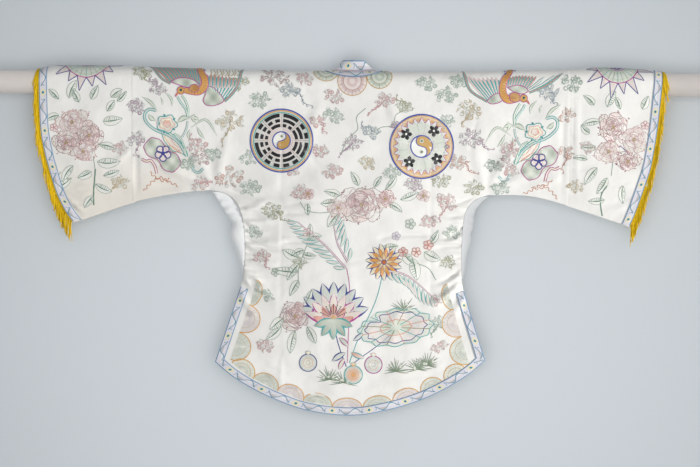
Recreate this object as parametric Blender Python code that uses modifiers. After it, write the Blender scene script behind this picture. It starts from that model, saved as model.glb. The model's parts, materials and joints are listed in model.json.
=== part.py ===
"""Short theatrical jacket of ivory satin, spread from its back over a padded rod through both sleeves.

The origin is on the rod's axis at the middle of the neck. +X runs along the rod, +Z is up, and the
jacket's back faces -Y. Left is the wearer's left, at -X.
"""
import itertools
import math

import bmesh
import bpy
from mathutils import Vector

MM = 0.001

# The rod and the cloth that lies on it
ROD_RADIUS = 25.3 * MM
ROD_HALF_LENGTH = 800 * MM
ROD_SIDES = 48
ROD_EDGE = 2 * MM
WALL = 1.5 * MM
GAP = 0.3 * MM
REST_CLEARANCE = 0.5 * MM
FOLD_RADIUS = ROD_RADIUS + REST_CLEARANCE + WALL
FOLD_STEPS = 6
QUARTER_ARC = FOLD_RADIUS * math.pi / 2
FOLD_START = GAP / 2 + WALL * math.sin(math.pi / 4 / FOLD_STEPS)

# The ribbon that binds cuffs, slits, hem and neck
RIBBON_WIDTH = 17.6 * MM
RIBBON_WALL = 1.0 * MM
RIBBON_LIFT = GAP + RIBBON_WALL
BAND_CLEARANCE = 0.65 * MM

# Seams between the body and the sleeve ends, and how far the layers stand from the middle plane
LEFT_SEAM = -486 * MM
RIGHT_SEAM = 473 * MM
EDGE_DEPTH = WALL + 1.2 * GAP
HEM_DEPTH = 22 * MM

# The neck hole in the flat cloth, and the band round it
NECK_HALF_WIDTH = 47 * MM
NECK_BACK_DROP = QUARTER_ARC / FOLD_STEPS
NECK_FRONT_DROP = 75 * MM
BAND_HALF_WIDTH = 63 * MM
BAND_BACK_DROP = 30 * MM
BAND_FRONT_DROP = 93 * MM
BAND_STEP = 5 * MM
BAND_FLAT_TURN = math.radians(50)
BAND_FRONT_STEPS = 5
BAND_BACK_STEPS = 9
FRONT_END_TURN = math.radians(87)
COLLAR_INSET = 1.6 * MM
COLLAR_ROWS = 3
CENTRE_GAP = 0.6 * MM
CLOSE = 0.01 * MM

# The fringe
STRANDS_PER_LAYER = 44
HEADING_WIDTH = 3 * MM
STRAND_LENGTH = 44 * MM
STRAND_STAND_OFF = 2 * MM
STRAND_SHARE = 0.62
STRAND_TIP_SHARE = 0.75
STRAND_SPREAD = math.radians(22)
STRAND_TOP_TURN = math.radians(24)

# Shape tables, in millimetres from the origin. Each has one row for each section.
UNDERSIDE_COLUMNS = ("x", "z")
LEFT_UNDERSIDE = (
    (-614.9, -307.5),
    (-601.5, -304.4),
    (-490.6, -265.1),
    (-423.0, -249.4),
    (-358.6, -239.2),
    (-313.5, -235.6),
)
RIGHT_UNDERSIDE = (
    (297.0, -243.6),
    (385.0, -245.2),
    (459.8, -262.6),
    (590.9, -306.0),
    (607.2, -312.2),
)
CUFF_COLUMNS = ("z", "left_x", "right_x")
CUFF_EDGE = (
    (-312.0, -612.0, 607.3),
    (-281.0, -633.6, 620.0),
    (-244.0, -651.2, 632.6),
    (-193.0, -666.6, 648.9),
    (-160.0, -675.4, 655.8),
    (-110.0, -684.2, 663.2),
    (-39.0, -687.5, 670.5),
    (28.0, -688.6, 676.7),
)
SIDE_COLUMNS = ("left_z", "left_x", "left_bulge", "right_z", "right_x", "right_bulge", "depth")
SIDE_SEAM = (
    (-612.7, -301.2, 0.0, -606.4, 290.8, 0.0, 13.0),
    (-447.0, -246.0, 0.0, -455.0, 243.5, 0.0, 8.0),
    (-420.1, -240.0, 2.5, -433.1, 239.1, 2.5, 9.0),
    (-393.7, -237.6, 12.4, -408.9, 238.3, 8.0, 11.0),
    (-365.1, -236.7, 22.5, -375.9, 237.2, 13.6, 12.0),
    (-336.5, -237.6, 31.8, -342.9, 238.3, 21.2, 12.0),
    (-306.8, -240.5, 27.6, -309.9, 241.1, 22.9, 11.0),
    (-281.5, -247.5, 33.6, -284.8, 245.1, 21.7, 8.5),
    (-259.6, -259.2, 34.8, -268.0, 254.0, 21.0, 6.0),
    (-242.1, -282.7, 22.5, -253.0, 270.0, 18.9, 3.5),
    (-235.6, -313.5, 2.5, -243.6, 297.0, 2.5, 1.86),
)
HEM_COLUMNS = ("x", "z")
HEM_EDGE = (
    (-301.2, -612.7),
    (-262.5, -644.6),
    (-207.5, -676.7),
    (-156.2, -699.1),
    (-110.7, -714.9),
    (-46.2, -725.8),
    (15.4, -727.2),
    (68.2, -717.9),
    (116.6, -705.6),
    (165.0, -687.8),
    (216.7, -661.6),
    (261.8, -632.3),
    (290.8, -606.4),
)

# One row for each gather along the two back seams: where it starts, how far it runs, how high it is
GATHER_COLUMNS = ("left_z", "left_run", "left_rise", "right_z", "right_run", "right_rise")
GATHERS = (
    (-268, 34, 1.6, -273, 30, 1.5),
    (-281, 52, 2.4, -286, 46, 2.2),
    (-293, 30, 1.9, -298, 64, 2.8),
    (-305, 66, 3.0, -310, 34, 2.0),
    (-318, 40, 2.2, -323, 52, 2.6),
    (-330, 58, 2.8, -336, 28, 1.8),
    (-342, 28, 1.9, -348, 60, 2.9),
    (-355, 62, 2.7, -361, 44, 2.3),
    (-367, 44, 2.4, -374, 70, 2.8),
    (-380, 74, 3.0, -387, 38, 2.1),
    (-392, 36, 2.0, -399, 56, 2.6),
    (-404, 60, 2.6, -412, 30, 1.8),
    (-417, 46, 2.2, -425, 48, 2.2),
    (-430, 68, 2.4, -438, 36, 1.6),
)
GATHER_SPREAD = 4.2 * MM

# Collar, by how far round it is: 0 at the middle of the back, 1 at the shoulder, 2 at the front
COLLAR_COLUMNS = ("turn", "lean_in", "lean_forward", "rise")
COLLAR_LEAN = (
    (0.0, 0.0, 2.0, 24.5),
    (0.5, 11.0, 5.0, 24.0),
    (1.0, 21.0, 9.0, 20.0),
    (1.5, 12.0, 16.0, 15.0),
    (2.0, 0.5, 18.0, 14.0),
)

# Columns of the grids: set distances in from a side edge, then shares of what is left
EDGE_COLUMNS = (0, 7 * MM, RIBBON_WIDTH)
INNER_SHARES = (0.06, 0.16, 0.32, 0.56)
BACK_NECK_TURNS = [math.radians(angle) for angle in (0, 30, 60)]
FRONT_NECK_TURNS = [math.asin(QUARTER_ARC * i / FOLD_STEPS / NECK_FRONT_DROP) for i in range(FOLD_STEPS + 1)]
FRONT_NECK_TURNS += [math.radians(angle) for angle in (50, 70)]
SLEEVE_SHARES = (0, 0.27, 0.52, 0.77)
SLEEVE_END_SHARES = (0, 0.3, 0.62)
HANG_SHARES = (0.17, 0.35, 0.53, 0.7, 0.86, 1.0)
SLIT_SHARES = (0.2, 0.4, 0.6, 0.8, 1.0)
UNDERARM_ROWS = 4
PLAIN_ROW_STEP = 4

# Finishes: name, colour, roughness, metallic
FINISHES = {
    "ivory_satin": ((0.80, 0.77, 0.70), 0.42, 0.0),
    "white_satin": ((0.86, 0.87, 0.85), 0.45, 0.0),
    "flowered_ribbon": ((0.60, 0.64, 0.78), 0.55, 0.0),
    "golden_thread": ((0.62, 0.43, 0.03), 0.5, 0.0),
    "padded_rod": ((0.62, 0.57, 0.54), 0.85, 0.0),
}


def smooth_value(knots, values, at):
    """Reads a smooth curve through the rows of a table; knots rise, and ends are held."""
    if at <= knots[0]:
        return values[0]
    if at >= knots[-1]:
        return values[-1]
    slopes = []
    last = len(knots) - 1
    for i in range(len(knots)):
        low = max(i - 1, 0)
        high = min(i + 1, last)
        slopes.append((values[high] - values[low]) / (knots[high] - knots[low]))
    i = 0
    while knots[i + 1] < at:
        i += 1
    span = knots[i + 1] - knots[i]
    t = (at - knots[i]) / span
    rise = (3 - 2 * t) * t * t
    into = ((1 - t) ** 2 * slopes[i] + (t - 1) * t * slopes[i + 1]) * t * span
    return values[i] + (values[i + 1] - values[i]) * rise + into


def column(table, names, name):
    """One named column of a table, in metres."""
    index = names.index(name)
    return [row[index] * MM for row in table]


def mix(a, b, t):
    return a + (b - a) * t


CUFF_Z = column(CUFF_EDGE, CUFF_COLUMNS, "z")
CUFF_X = {-1: column(CUFF_EDGE, CUFF_COLUMNS, "left_x"), 1: column(CUFF_EDGE, CUFF_COLUMNS, "right_x")}
SIDE_Z = {-1: column(SIDE_SEAM, SIDE_COLUMNS, "left_z"), 1: column(SIDE_SEAM, SIDE_COLUMNS, "right_z")}
SIDE_X = {-1: column(SIDE_SEAM, SIDE_COLUMNS, "left_x"), 1: column(SIDE_SEAM, SIDE_COLUMNS, "right_x")}
BULGE = {-1: column(SIDE_SEAM, SIDE_COLUMNS, "left_bulge"), 1: column(SIDE_SEAM, SIDE_COLUMNS, "right_bulge")}
SIDE_DEPTH = column(SIDE_SEAM, SIDE_COLUMNS, "depth")
HEM_X = column(HEM_EDGE, HEM_COLUMNS, "x")
HEM_Z = column(HEM_EDGE, HEM_COLUMNS, "z")
SEAM_X = {-1: LEFT_SEAM, 1: RIGHT_SEAM}
ARMPIT_X = {-1: LEFT_UNDERSIDE[-1][0] * MM, 1: RIGHT_UNDERSIDE[0][0] * MM}
ARMPIT_Z = {-1: LEFT_UNDERSIDE[-1][1] * MM, 1: RIGHT_UNDERSIDE[0][1] * MM}
SLIT_TOP_Z = {-1: SIDE_Z[-1][1], 1: SIDE_Z[1][1]}
UNDERSIDE = {-1: LEFT_UNDERSIDE, 1: RIGHT_UNDERSIDE}


def underside_z(side, x):
    """Height of the sleeve's lower edge."""
    table = UNDERSIDE[side]
    return smooth_value(column(table, UNDERSIDE_COLUMNS, "x"), column(table, UNDERSIDE_COLUMNS, "z"), x)


def cuff_x(side, z):
    return smooth_value(CUFF_Z, CUFF_X[side], z)


def cuff_slope(side, z):
    step = 2 * MM
    return (cuff_x(side, z + step) - cuff_x(side, z - step)) / (2 * step)


def ribbon_x(side, z):
    """Inner edge of the cuff ribbon."""
    across = RIBBON_WIDTH * math.sqrt(1 + cuff_slope(side, z) ** 2)
    return cuff_x(side, z) - side * across


def side_x(side, z):
    return smooth_value(SIDE_Z[side], SIDE_X[side], z)


def side_depth(side, z):
    return smooth_value(SIDE_Z[side], SIDE_DEPTH, z)


def level_z(x):
    """The line from armpit to armpit."""
    share = (x - ARMPIT_X[-1]) / (ARMPIT_X[1] - ARMPIT_X[-1])
    return mix(ARMPIT_Z[-1], ARMPIT_Z[1], share)


def half_depth(x, z):
    """How far the outside of a layer stands from the middle plane, below the rod."""
    side = -1 if x < 0 else 1
    if abs(x) >= abs(ARMPIT_X[side]):
        share = min(z / underside_z(side, x), 1)
        return mix(FOLD_RADIUS, EDGE_DEPTH, share)
    hang = mix(FOLD_RADIUS, HEM_DEPTH, z / min(HEM_Z))
    top = level_z(x)
    below = min(z, top)
    left = side_x(-1, min(below, ARMPIT_Z[-1]))
    right = side_x(1, min(below, ARMPIT_Z[1]))
    inward = min(x - left, right - x)
    share = min(max(2 * inward / (right - left), 0), 1)
    low = mix(side_depth(side, below), hang, math.sin(share * math.pi / 2))
    if z >= top:
        return mix(FOLD_RADIUS, low, z / top)
    return low


def gather_rise(x, z):
    """Height of the gathers that run in from the back seams."""
    side = -1 if x < 0 else 1
    word = "left" if side < 0 else "right"
    if z > ARMPIT_Z[side]:
        return 0.0
    inward = abs(x - side_x(side, z))
    starts = column(GATHERS, GATHER_COLUMNS, word + "_z")
    runs = column(GATHERS, GATHER_COLUMNS, word + "_run")
    rises = column(GATHERS, GATHER_COLUMNS, word + "_rise")
    total = 0.0
    for start, run, rise in zip(starts, runs, rises):
        fade = max(1 - inward / run, 0) ** 1.3
        total += rise * fade * math.exp(-((z - start) / GATHER_SPREAD) ** 2)
    return total


def cloth_point(layer, x, drop, lift):
    """A point of the cloth's outside, moved out by lift. Layer -1 is the back, 1 the front."""
    if drop < QUARTER_ARC:
        turn = drop / FOLD_RADIUS
        reach = FOLD_RADIUS + lift
        return Vector((x, layer * reach * math.sin(turn), reach * math.cos(turn)))
    z = QUARTER_ARC - drop
    out = half_depth(x, z) + lift
    if layer < 0:
        out += gather_rise(x, z)
    return Vector((x, layer * out, z))


def around_point(x, along, lift):
    """The same point by its distance along the cloth from the fold: up on the front, down on the back."""
    layer = -1 if along >= 0 else 1
    return cloth_point(layer, x, abs(along), lift)


def drop_of(z):
    return QUARTER_ARC - z


def neck_drop(layer, x):
    """Where the cloth starts below the fold, inside the neck hole."""
    depth = NECK_BACK_DROP if layer < 0 else NECK_FRONT_DROP
    share = min(abs(x) / NECK_HALF_WIDTH, 1)
    return max(depth * math.sqrt(1 - share * share), FOLD_START)


def half_columns(edge, turns):
    """Columns from a side edge to the middle, with the middle left out."""
    side = -1 if edge < 0 else 1
    places = [edge - side * distance for distance in EDGE_COLUMNS]
    rest = abs(places[-1]) - NECK_HALF_WIDTH
    places += [places[-1] - side * rest * share for share in INNER_SHARES]
    places += [side * NECK_HALF_WIDTH * math.cos(turn) for turn in turns]
    return places


def hem_point(x):
    return x, smooth_value(HEM_X, HEM_Z, x)


def ribbon_row_point(x, above):
    """Inner edge of the hem ribbon, on the line from the hem point at x to a point above it."""
    step = 2 * MM
    hem = Vector(hem_point(x))
    along = Vector(hem_point(min(x + step, HEM_X[-1]))) - Vector(hem_point(max(x - step, HEM_X[0])))
    inward = Vector((-along.y, along.x)).normalized()
    up = (Vector(above) - hem).normalized()
    point = hem + up * (RIBBON_WIDTH / inward.dot(up))
    return point.x, point.y


def side_rows(layer):
    """Heights of the rows at the two side edges, from under the armpits to the slits' tops."""
    rows = []
    starts = {-1: column(GATHERS, GATHER_COLUMNS, "left_z"), 1: column(GATHERS, GATHER_COLUMNS, "right_z")}
    for share in (0.12, 0.3, 0.6):
        rows.append(tuple(mix(ARMPIT_Z[side], starts[side][0], share) for side in (-1, 1)))
    for i in range(len(GATHERS)):
        rows.append(tuple(starts[side][i] for side in (-1, 1)))
        if i + 1 < len(GATHERS):
            rows.append(tuple((starts[side][i] + starts[side][i + 1]) / 2 for side in (-1, 1)))
    rows.append((SLIT_TOP_Z[-1], SLIT_TOP_Z[1]))
    if layer < 0:
        return rows
    return rows[:UNDERARM_ROWS] + rows[UNDERARM_ROWS + 1:-2:PLAIN_ROW_STEP] + rows[-2:]


def body_columns(layer, left_edge, right_edge, sides):
    turns = BACK_NECK_TURNS if layer < 0 else FRONT_NECK_TURNS
    places = []
    if -1 in sides:
        places += half_columns(left_edge, turns)
    if layer < 0:
        places.append(0.0)
    if -1 in sides and layer > 0:
        places.append(-CENTRE_GAP / 2)
    if 1 in sides:
        if layer > 0:
            places.append(CENTRE_GAP / 2)
        places += reversed(half_columns(right_edge, turns))
    return places


def panel_stations(layer, sides):
    """The body's grid: a place (x, drop) for each row and column, sleeves first, then the body."""
    sleeves = {}
    for side in sides:
        seam = SEAM_X[side] - side * GAP / 2
        sleeves[side] = [mix(seam, ARMPIT_X[side], share) for share in SLEEVE_SHARES]
    body = body_columns(layer, ARMPIT_X[-1], ARMPIT_X[1], sides)
    top = sleeves.get(-1, []) + body + list(reversed(sleeves.get(1, [])))
    first = len(sleeves.get(-1, []))
    stations = {}
    for c, x in enumerate(top):
        start = neck_drop(layer, x)
        for r in range(FOLD_STEPS + 1):
            here = QUARTER_ARC * r / FOLD_STEPS
            below = QUARTER_ARC * (r + 1) / FOLD_STEPS
            if r == FOLD_STEPS or start < below - CLOSE:
                stations[r, c] = (x, max(here, start))
        side = -1 if x < 0 else 1
        sleeve = abs(x) > abs(ARMPIT_X[side])
        bottom = underside_z(side, x) if sleeve else level_z(x)
        from_drop = stations[FOLD_STEPS, c][1]
        for i, share in enumerate(HANG_SHARES):
            stations[FOLD_STEPS + 1 + i, c] = (x, mix(from_drop, drop_of(bottom), share))
    row = FOLD_STEPS + len(HANG_SHARES)
    for left_z, right_z in side_rows(layer):
        row += 1
        places = body_columns(layer, side_x(-1, left_z), side_x(1, right_z), sides)
        for c, x in enumerate(places):
            share = (x - side_x(-1, left_z)) / (side_x(1, right_z) - side_x(-1, left_z))
            stations[row, first + c] = (x, drop_of(mix(left_z, right_z, share)))
    slit_row = row
    hem_places = body_columns(layer, HEM_X[0], HEM_X[-1], sides)
    for c, x in enumerate(hem_places):
        above_x, above_drop = stations[slit_row, first + c]
        ribbon_x_here, ribbon_z = ribbon_row_point(x, (above_x, QUARTER_ARC - above_drop))
        for i, share in enumerate(SLIT_SHARES):
            at = (mix(above_x, ribbon_x_here, share), mix(above_drop, drop_of(ribbon_z), share))
            stations[slit_row + 1 + i, first + c] = at
        stations[slit_row + 1 + len(SLIT_SHARES), first + c] = (x, drop_of(hem_point(x)[1]))
    return stations, slit_row, first, first + len(body) - 1


def sleeve_end_stations(side):
    """The sleeve end's grid, from its seam to the cuff's edge."""
    stations = {}
    columns = len(SLEEVE_END_SHARES) + 2

    def place(c, z):
        if c == columns - 1:
            return cuff_x(side, z)
        if c == columns - 2:
            return ribbon_x(side, z)
        seam = SEAM_X[side] + side * GAP / 2
        return mix(seam, ribbon_x(side, z), SLEEVE_END_SHARES[c])

    for c in range(columns):
        bottom = underside_z(side, SEAM_X[side])
        for _ in range(12):
            bottom = underside_z(side, place(c, bottom))
        key = c if side > 0 else columns - 1 - c
        for r in range(FOLD_STEPS + 1):
            drop = max(QUARTER_ARC * r / FOLD_STEPS, FOLD_START)
            z = FOLD_RADIUS * math.cos(drop / FOLD_RADIUS)
            stations[r, key] = (place(c, z), drop)
        for i, share in enumerate(HANG_SHARES):
            z = bottom * share
            stations[FOLD_STEPS + 1 + i, key] = (place(c, z), drop_of(z))
    return stations


def finish(name):
    """A plain material of the piece's own colour."""
    colour, roughness, metallic = FINISHES[name]
    material = bpy.data.materials.get(name) or bpy.data.materials.new(name)
    material.use_nodes = True
    shader = material.node_tree.nodes["Principled BSDF"]
    shader.inputs["Base Color"].default_value = (*colour, 1)
    shader.inputs["Roughness"].default_value = roughness
    shader.inputs["Metallic"].default_value = metallic
    return material


def add_object(name, mesh, material):
    mesh.materials.append(finish(material))
    piece = bpy.data.objects.new(name, mesh)
    jacket.objects.link(piece)
    piece.parent = hold
    return piece


def add_wall(name, points, faces, thickness, material):
    """An open surface made a wall: the points lie on its outside and it grows inward."""
    mesh = bpy.data.meshes.new(name)
    mesh.from_pydata(points, [], faces)
    mesh.shade_smooth()
    piece = add_object(name, mesh, material)
    wall = piece.modifiers.new("wall", "SOLIDIFY")
    wall.thickness = thickness
    wall.offset = -1
    return piece


def cell_corners(stations, r, c):
    """The corners that a cell has. Below the armpits a cell needs all four."""
    corners = [(r, c), (r + 1, c), (r + 1, c + 1), (r, c + 1)]
    there = [corner for corner in corners if corner in stations]
    if r >= FOLD_STEPS and len(there) < 4:
        return []
    return there


def add_sheet(name, layer, stations, lift, thickness, material, keep=None):
    """A piece of cloth on one layer, with a face in each cell, and half a one along the neck."""
    indices = {}
    points = []
    faces = []

    def index(key):
        if key not in indices:
            x, drop = stations[key]
            indices[key] = len(points)
            points.append(cloth_point(layer, x, drop, lift))
        return indices[key]

    last_row = max(r for r, _ in stations)
    last_column = max(c for _, c in stations)
    for r, c in itertools.product(range(last_row), range(last_column)):
        corners = cell_corners(stations, r, c)
        if len(corners) < 3:
            continue
        if keep and not keep(r, c):
            continue
        if layer > 0:
            corners = corners[::-1]
        faces.append([index(corner) for corner in corners])
    return add_wall(name, points, faces, thickness, material)


def add_body_panel(name, ribbon_name, layer, sides):
    """A body panel and the ribbon on its slits and hem."""
    stations, slit_row, first, last = panel_stations(layer, sides)
    add_sheet(name, layer, stations, 0, WALL, "ivory_satin")
    last_row = slit_row + len(SLIT_SHARES)
    strip = len(EDGE_COLUMNS) - 1

    def on_ribbon(r, c):
        if r < slit_row or c < first or c >= last:
            return False
        left = -1 in sides and c < first + strip
        right = 1 in sides and c >= last - strip
        return r == last_row or left or right

    add_sheet(ribbon_name, layer, stations, RIBBON_LIFT, RIBBON_WALL, "flowered_ribbon", on_ribbon)


def add_sleeve_end(side, word):
    """The two layers of a sleeve end, and the ribbon that runs round the cuff over the fold."""
    stations = sleeve_end_stations(side)
    add_sheet("sleeve_end_" + word + "_back", -1, stations, 0, WALL, "ivory_satin")
    add_sheet("sleeve_end_" + word + "_front", 1, stations, 0, WALL, "ivory_satin")
    columns = len(SLEEVE_END_SHARES) + 2
    pair = (columns - 2, columns - 1) if side > 0 else (0, 1)
    rows = FOLD_STEPS + 1 + len(HANG_SHARES)
    points = []
    for r in range(rows - 1, 0, -1):
        points += [cloth_point(1, *stations[r, c], RIBBON_LIFT) for c in pair]
    points += [cloth_point(-1, stations[0, c][0], 0, RIBBON_LIFT) for c in pair]
    for r in range(1, rows):
        points += [cloth_point(-1, *stations[r, c], RIBBON_LIFT) for c in pair]
    faces = [(i, i + 2, i + 3, i + 1) for i in range(0, len(points) - 2, 2)]
    add_wall("cuff_ribbon_" + word, points, faces, RIBBON_WALL, "flowered_ribbon")


def add_gusset(side, word):
    """The side strip: from the back seam, out and round to the front seam."""
    heights = [row[0 if side < 0 else 1] for row in side_rows(1)[:-1]]
    steps = 6
    points = []
    for z in heights:
        away = 2 * GAP
        slope = (side_x(side, z + MM) - side_x(side, z - MM)) / (2 * MM)
        seam = side_x(side, z) + side * away * math.sqrt(1 + slope * slope)
        bulge = smooth_value(SIDE_Z[side], BULGE[side], z)
        deep = side_depth(side, z)
        for i in range(steps + 1):
            turn = math.pi * i / steps
            points.append(Vector((seam + side * bulge * math.sin(turn), -deep * math.cos(turn), z)))
    faces = []
    wide = steps + 1
    for r in range(len(heights) - 1):
        for c in range(steps):
            face = (r * wide + c, r * wide + c + 1, (r + 1) * wide + c + 1, (r + 1) * wide + c)
            faces.append(face if side < 0 else tuple(reversed(face)))
    add_wall("gusset_" + word, points, faces, WALL, "white_satin")


def neck_turns():
    """Angles round the neck, from the front's left edge over the back to the front's right edge."""
    left = [(-1, 1, turn) for turn in reversed(FRONT_NECK_TURNS[1:])]
    left += [(-1, -1, turn) for turn in BACK_NECK_TURNS]
    return left + [(0, -1, math.pi / 2)] + [(-side, layer, turn) for side, layer, turn in reversed(left)]


def neck_place(side, layer, turn, half_width, back_drop, front_drop):
    deep = back_drop if layer < 0 else front_drop
    along = deep * math.sin(turn)
    return side * half_width * math.cos(turn), (along if layer < 0 else -along)


def band_turns():
    """Closer angles for the band, so that it follows the cloth over the rod."""
    front = []
    while not front or front[-1] < BAND_FLAT_TURN:
        front.append(math.asin(BAND_STEP * (len(front) + 1) / BAND_FRONT_DROP))
    front += [mix(front[-1], FRONT_END_TURN, i / BAND_FRONT_STEPS) for i in range(1, BAND_FRONT_STEPS + 1)]
    back = [math.pi / 2 * i / BAND_BACK_STEPS for i in range(BAND_BACK_STEPS)]
    left = [(-1, 1, turn) for turn in reversed(front)] + [(-1, -1, turn) for turn in back]
    return left + [(0, -1, math.pi / 2)] + [(-side, layer, turn) for side, layer, turn in reversed(left)]


def add_neck_band():
    """Ribbon laid flat round the neckline."""
    sizes = ((NECK_HALF_WIDTH, NECK_BACK_DROP, NECK_FRONT_DROP),
             (BAND_HALF_WIDTH, BAND_BACK_DROP, BAND_FRONT_DROP))
    across = 4
    points = []
    turns = band_turns()
    for side, layer, turn in turns:
        inner = neck_place(side, layer, turn, *sizes[0])
        outer = neck_place(side, layer, turn, *sizes[1])
        for i in range(across + 1):
            share = i / across
            x = mix(inner[0], outer[0], share)
            along = mix(inner[1], outer[1], share)
            points.append(around_point(x, along, BAND_CLEARANCE + RIBBON_WALL))
    faces = []
    wide = across + 1
    for r in range(len(turns) - 1):
        for c in range(across):
            face = (r * wide + c, r * wide + c + 1, (r + 1) * wide + c + 1, (r + 1) * wide + c)
            faces.append(face)
    add_wall("neck_band", points, faces, RIBBON_WALL, "flowered_ribbon")


def add_collar():
    """Low stand collar that rises from the neck hole and leans in."""
    turns = [(-1, 1, FRONT_END_TURN)] + neck_turns() + [(1, 1, FRONT_END_TURN)]
    knots = [row[0] for row in COLLAR_LEAN]
    lean_in = column(COLLAR_LEAN, COLLAR_COLUMNS, "lean_in")
    lean_forward = column(COLLAR_LEAN, COLLAR_COLUMNS, "lean_forward")
    rise = column(COLLAR_LEAN, COLLAR_COLUMNS, "rise")
    points = []
    for side, layer, turn in turns:
        place = neck_place(side, layer, turn, NECK_HALF_WIDTH - COLLAR_INSET,
                           NECK_BACK_DROP - COLLAR_INSET, NECK_FRONT_DROP - COLLAR_INSET)
        base = around_point(*place, 0)
        share = turn / (math.pi / 2)
        round_turn = 1 - share if layer < 0 else 1 + share
        up = Vector((-side * smooth_value(knots, lean_in, round_turn),
                     smooth_value(knots, lean_forward, round_turn),
                     smooth_value(knots, rise, round_turn)))
        for i in range(COLLAR_ROWS):
            points.append(base + up * (i / (COLLAR_ROWS - 1)))
    faces = []
    for r in range(len(turns) - 1):
        for c in range(COLLAR_ROWS - 1):
            a = r * COLLAR_ROWS + c
            faces.append((a, a + COLLAR_ROWS, a + COLLAR_ROWS + 1, a + 1))
    add_wall("collar", points, faces, WALL, "flowered_ribbon")


def fringe_path(side):
    """Stations along the cuff's edge, from the front's lower end over the fold to the back's."""
    lowest = UNDERSIDE[side][0 if side < 0 else -1][1] * MM + 3 * MM
    reach = drop_of(lowest)
    count = 2 * STRANDS_PER_LAYER
    return [mix(-reach, reach, i / count) for i in range(count + 1)]


def fringe_frame(side, along):
    """Point of the cuff's edge, with the ways out of the cloth and out of the cuff."""
    drop = abs(along)
    layer = -1 if along >= 0 else 1
    z = QUARTER_ARC - drop
    if drop < QUARTER_ARC:
        turn = drop / FOLD_RADIUS
        z = FOLD_RADIUS * math.cos(turn)
        normal = Vector((0, layer * math.sin(turn), math.cos(turn)))
        down = Vector((0, layer * math.cos(turn), -math.sin(turn)))
    else:
        turn = math.pi / 2
        normal = Vector((0, layer, 0))
        down = Vector((0, 0, -1))
    edge = around_point(cuff_x(side, z), along, 0)
    lean = math.atan(abs(cuff_slope(side, z)))
    away = Vector((side, 0, 0))
    if drop >= QUARTER_ARC:
        away.z = -side * cuff_slope(side, z)
        away.normalize()
    spread = max(STRAND_SPREAD - lean, 0)
    if drop < QUARTER_ARC:
        spread = mix(math.pi / 2 - STRAND_TOP_TURN, STRAND_SPREAD, (drop / QUARTER_ARC) ** 3)
    hang = Vector((side, 0, 0)) * math.sin(spread) + down * math.cos(spread)
    return edge, normal, away, hang


def add_fringe(side, word):
    """A narrow heading beside the cuff's edge, with a strand drawn out of each of its outer faces."""
    stations = fringe_path(side)
    frames = [fringe_frame(side, along) for along in stations]
    work = bmesh.new()
    rings = []
    for edge, normal, away, _ in frames:
        inner = edge + away * GAP
        outer = inner + away * HEADING_WIDTH
        ring = [inner, outer, outer - normal * WALL, inner - normal * WALL]
        rings.append([work.verts.new(point) for point in ring])
    roots = []
    for low, high in zip(rings, rings[1:]):
        for k in range(4):
            n = (k + 1) % 4
            face = work.faces.new((low[k], low[n], high[n], high[k]))
            if k == 1:
                roots.append(face)
    work.faces.new(rings[0][::-1])
    work.faces.new(rings[-1])
    bmesh.ops.recalc_face_normals(work, faces=work.faces)
    hangs = []
    for i in range(len(roots)):
        middle = (stations[i] + stations[i + 1]) / 2
        hangs.append(fringe_frame(side, middle)[2:])
    faces = roots
    for step in range(2):
        faces = bmesh.ops.extrude_discrete_faces(work, faces=faces)["faces"]
        for face, (away, hang) in zip(faces, hangs):
            centre = face.calc_center_median()
            share = STRAND_SHARE if step == 0 else STRAND_TIP_SHARE
            move = away * STRAND_STAND_OFF if step == 0 else hang * STRAND_LENGTH
            for vertex in face.verts:
                vertex.co = centre + (vertex.co - centre) * share + move
    mesh = bpy.data.meshes.new("fringe_" + word)
    work.to_mesh(mesh)
    work.free()
    add_object("fringe_" + word, mesh, "golden_thread")


def add_rod():
    """The padded rod through both sleeves."""
    work = bmesh.new()
    bmesh.ops.create_cone(work, cap_ends=True, segments=ROD_SIDES, radius1=ROD_RADIUS, radius2=ROD_RADIUS,
                          depth=2 * ROD_HALF_LENGTH)
    mesh = bpy.data.meshes.new("rod")
    work.to_mesh(mesh)
    work.free()
    piece = add_object("rod", mesh, "padded_rod")
    piece.rotation_euler = (0, math.pi / 2, 0)
    rounding = piece.modifiers.new("rounding", "BEVEL")
    rounding.width = ROD_EDGE
    rounding.segments = 1
    rounding.limit_method = "ANGLE"


for old in list(bpy.data.objects):
    bpy.data.objects.remove(old)
jacket = bpy.data.collections.new("theatrical_jacket")
bpy.context.scene.collection.children.link(jacket)
hold = bpy.data.objects.new("rod_hold", None)
jacket.objects.link(hold)

add_rod()
add_body_panel("back", "hem_ribbon_back", -1, (-1, 1))
add_body_panel("front_left", "hem_ribbon_front_left", 1, (-1,))
add_body_panel("front_right", "hem_ribbon_front_right", 1, (1,))
for side, word in ((-1, "left"), (1, "right")):
    add_sleeve_end(side, word)
    add_gusset(side, word)
    add_fringe(side, word)
add_neck_band()
add_collar()
bpy.context.view_layer.update()
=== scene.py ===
import json
import math
import random

import bpy
import numpy as np
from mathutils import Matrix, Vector
from mathutils.geometry import delaunay_2d_cdt

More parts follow.
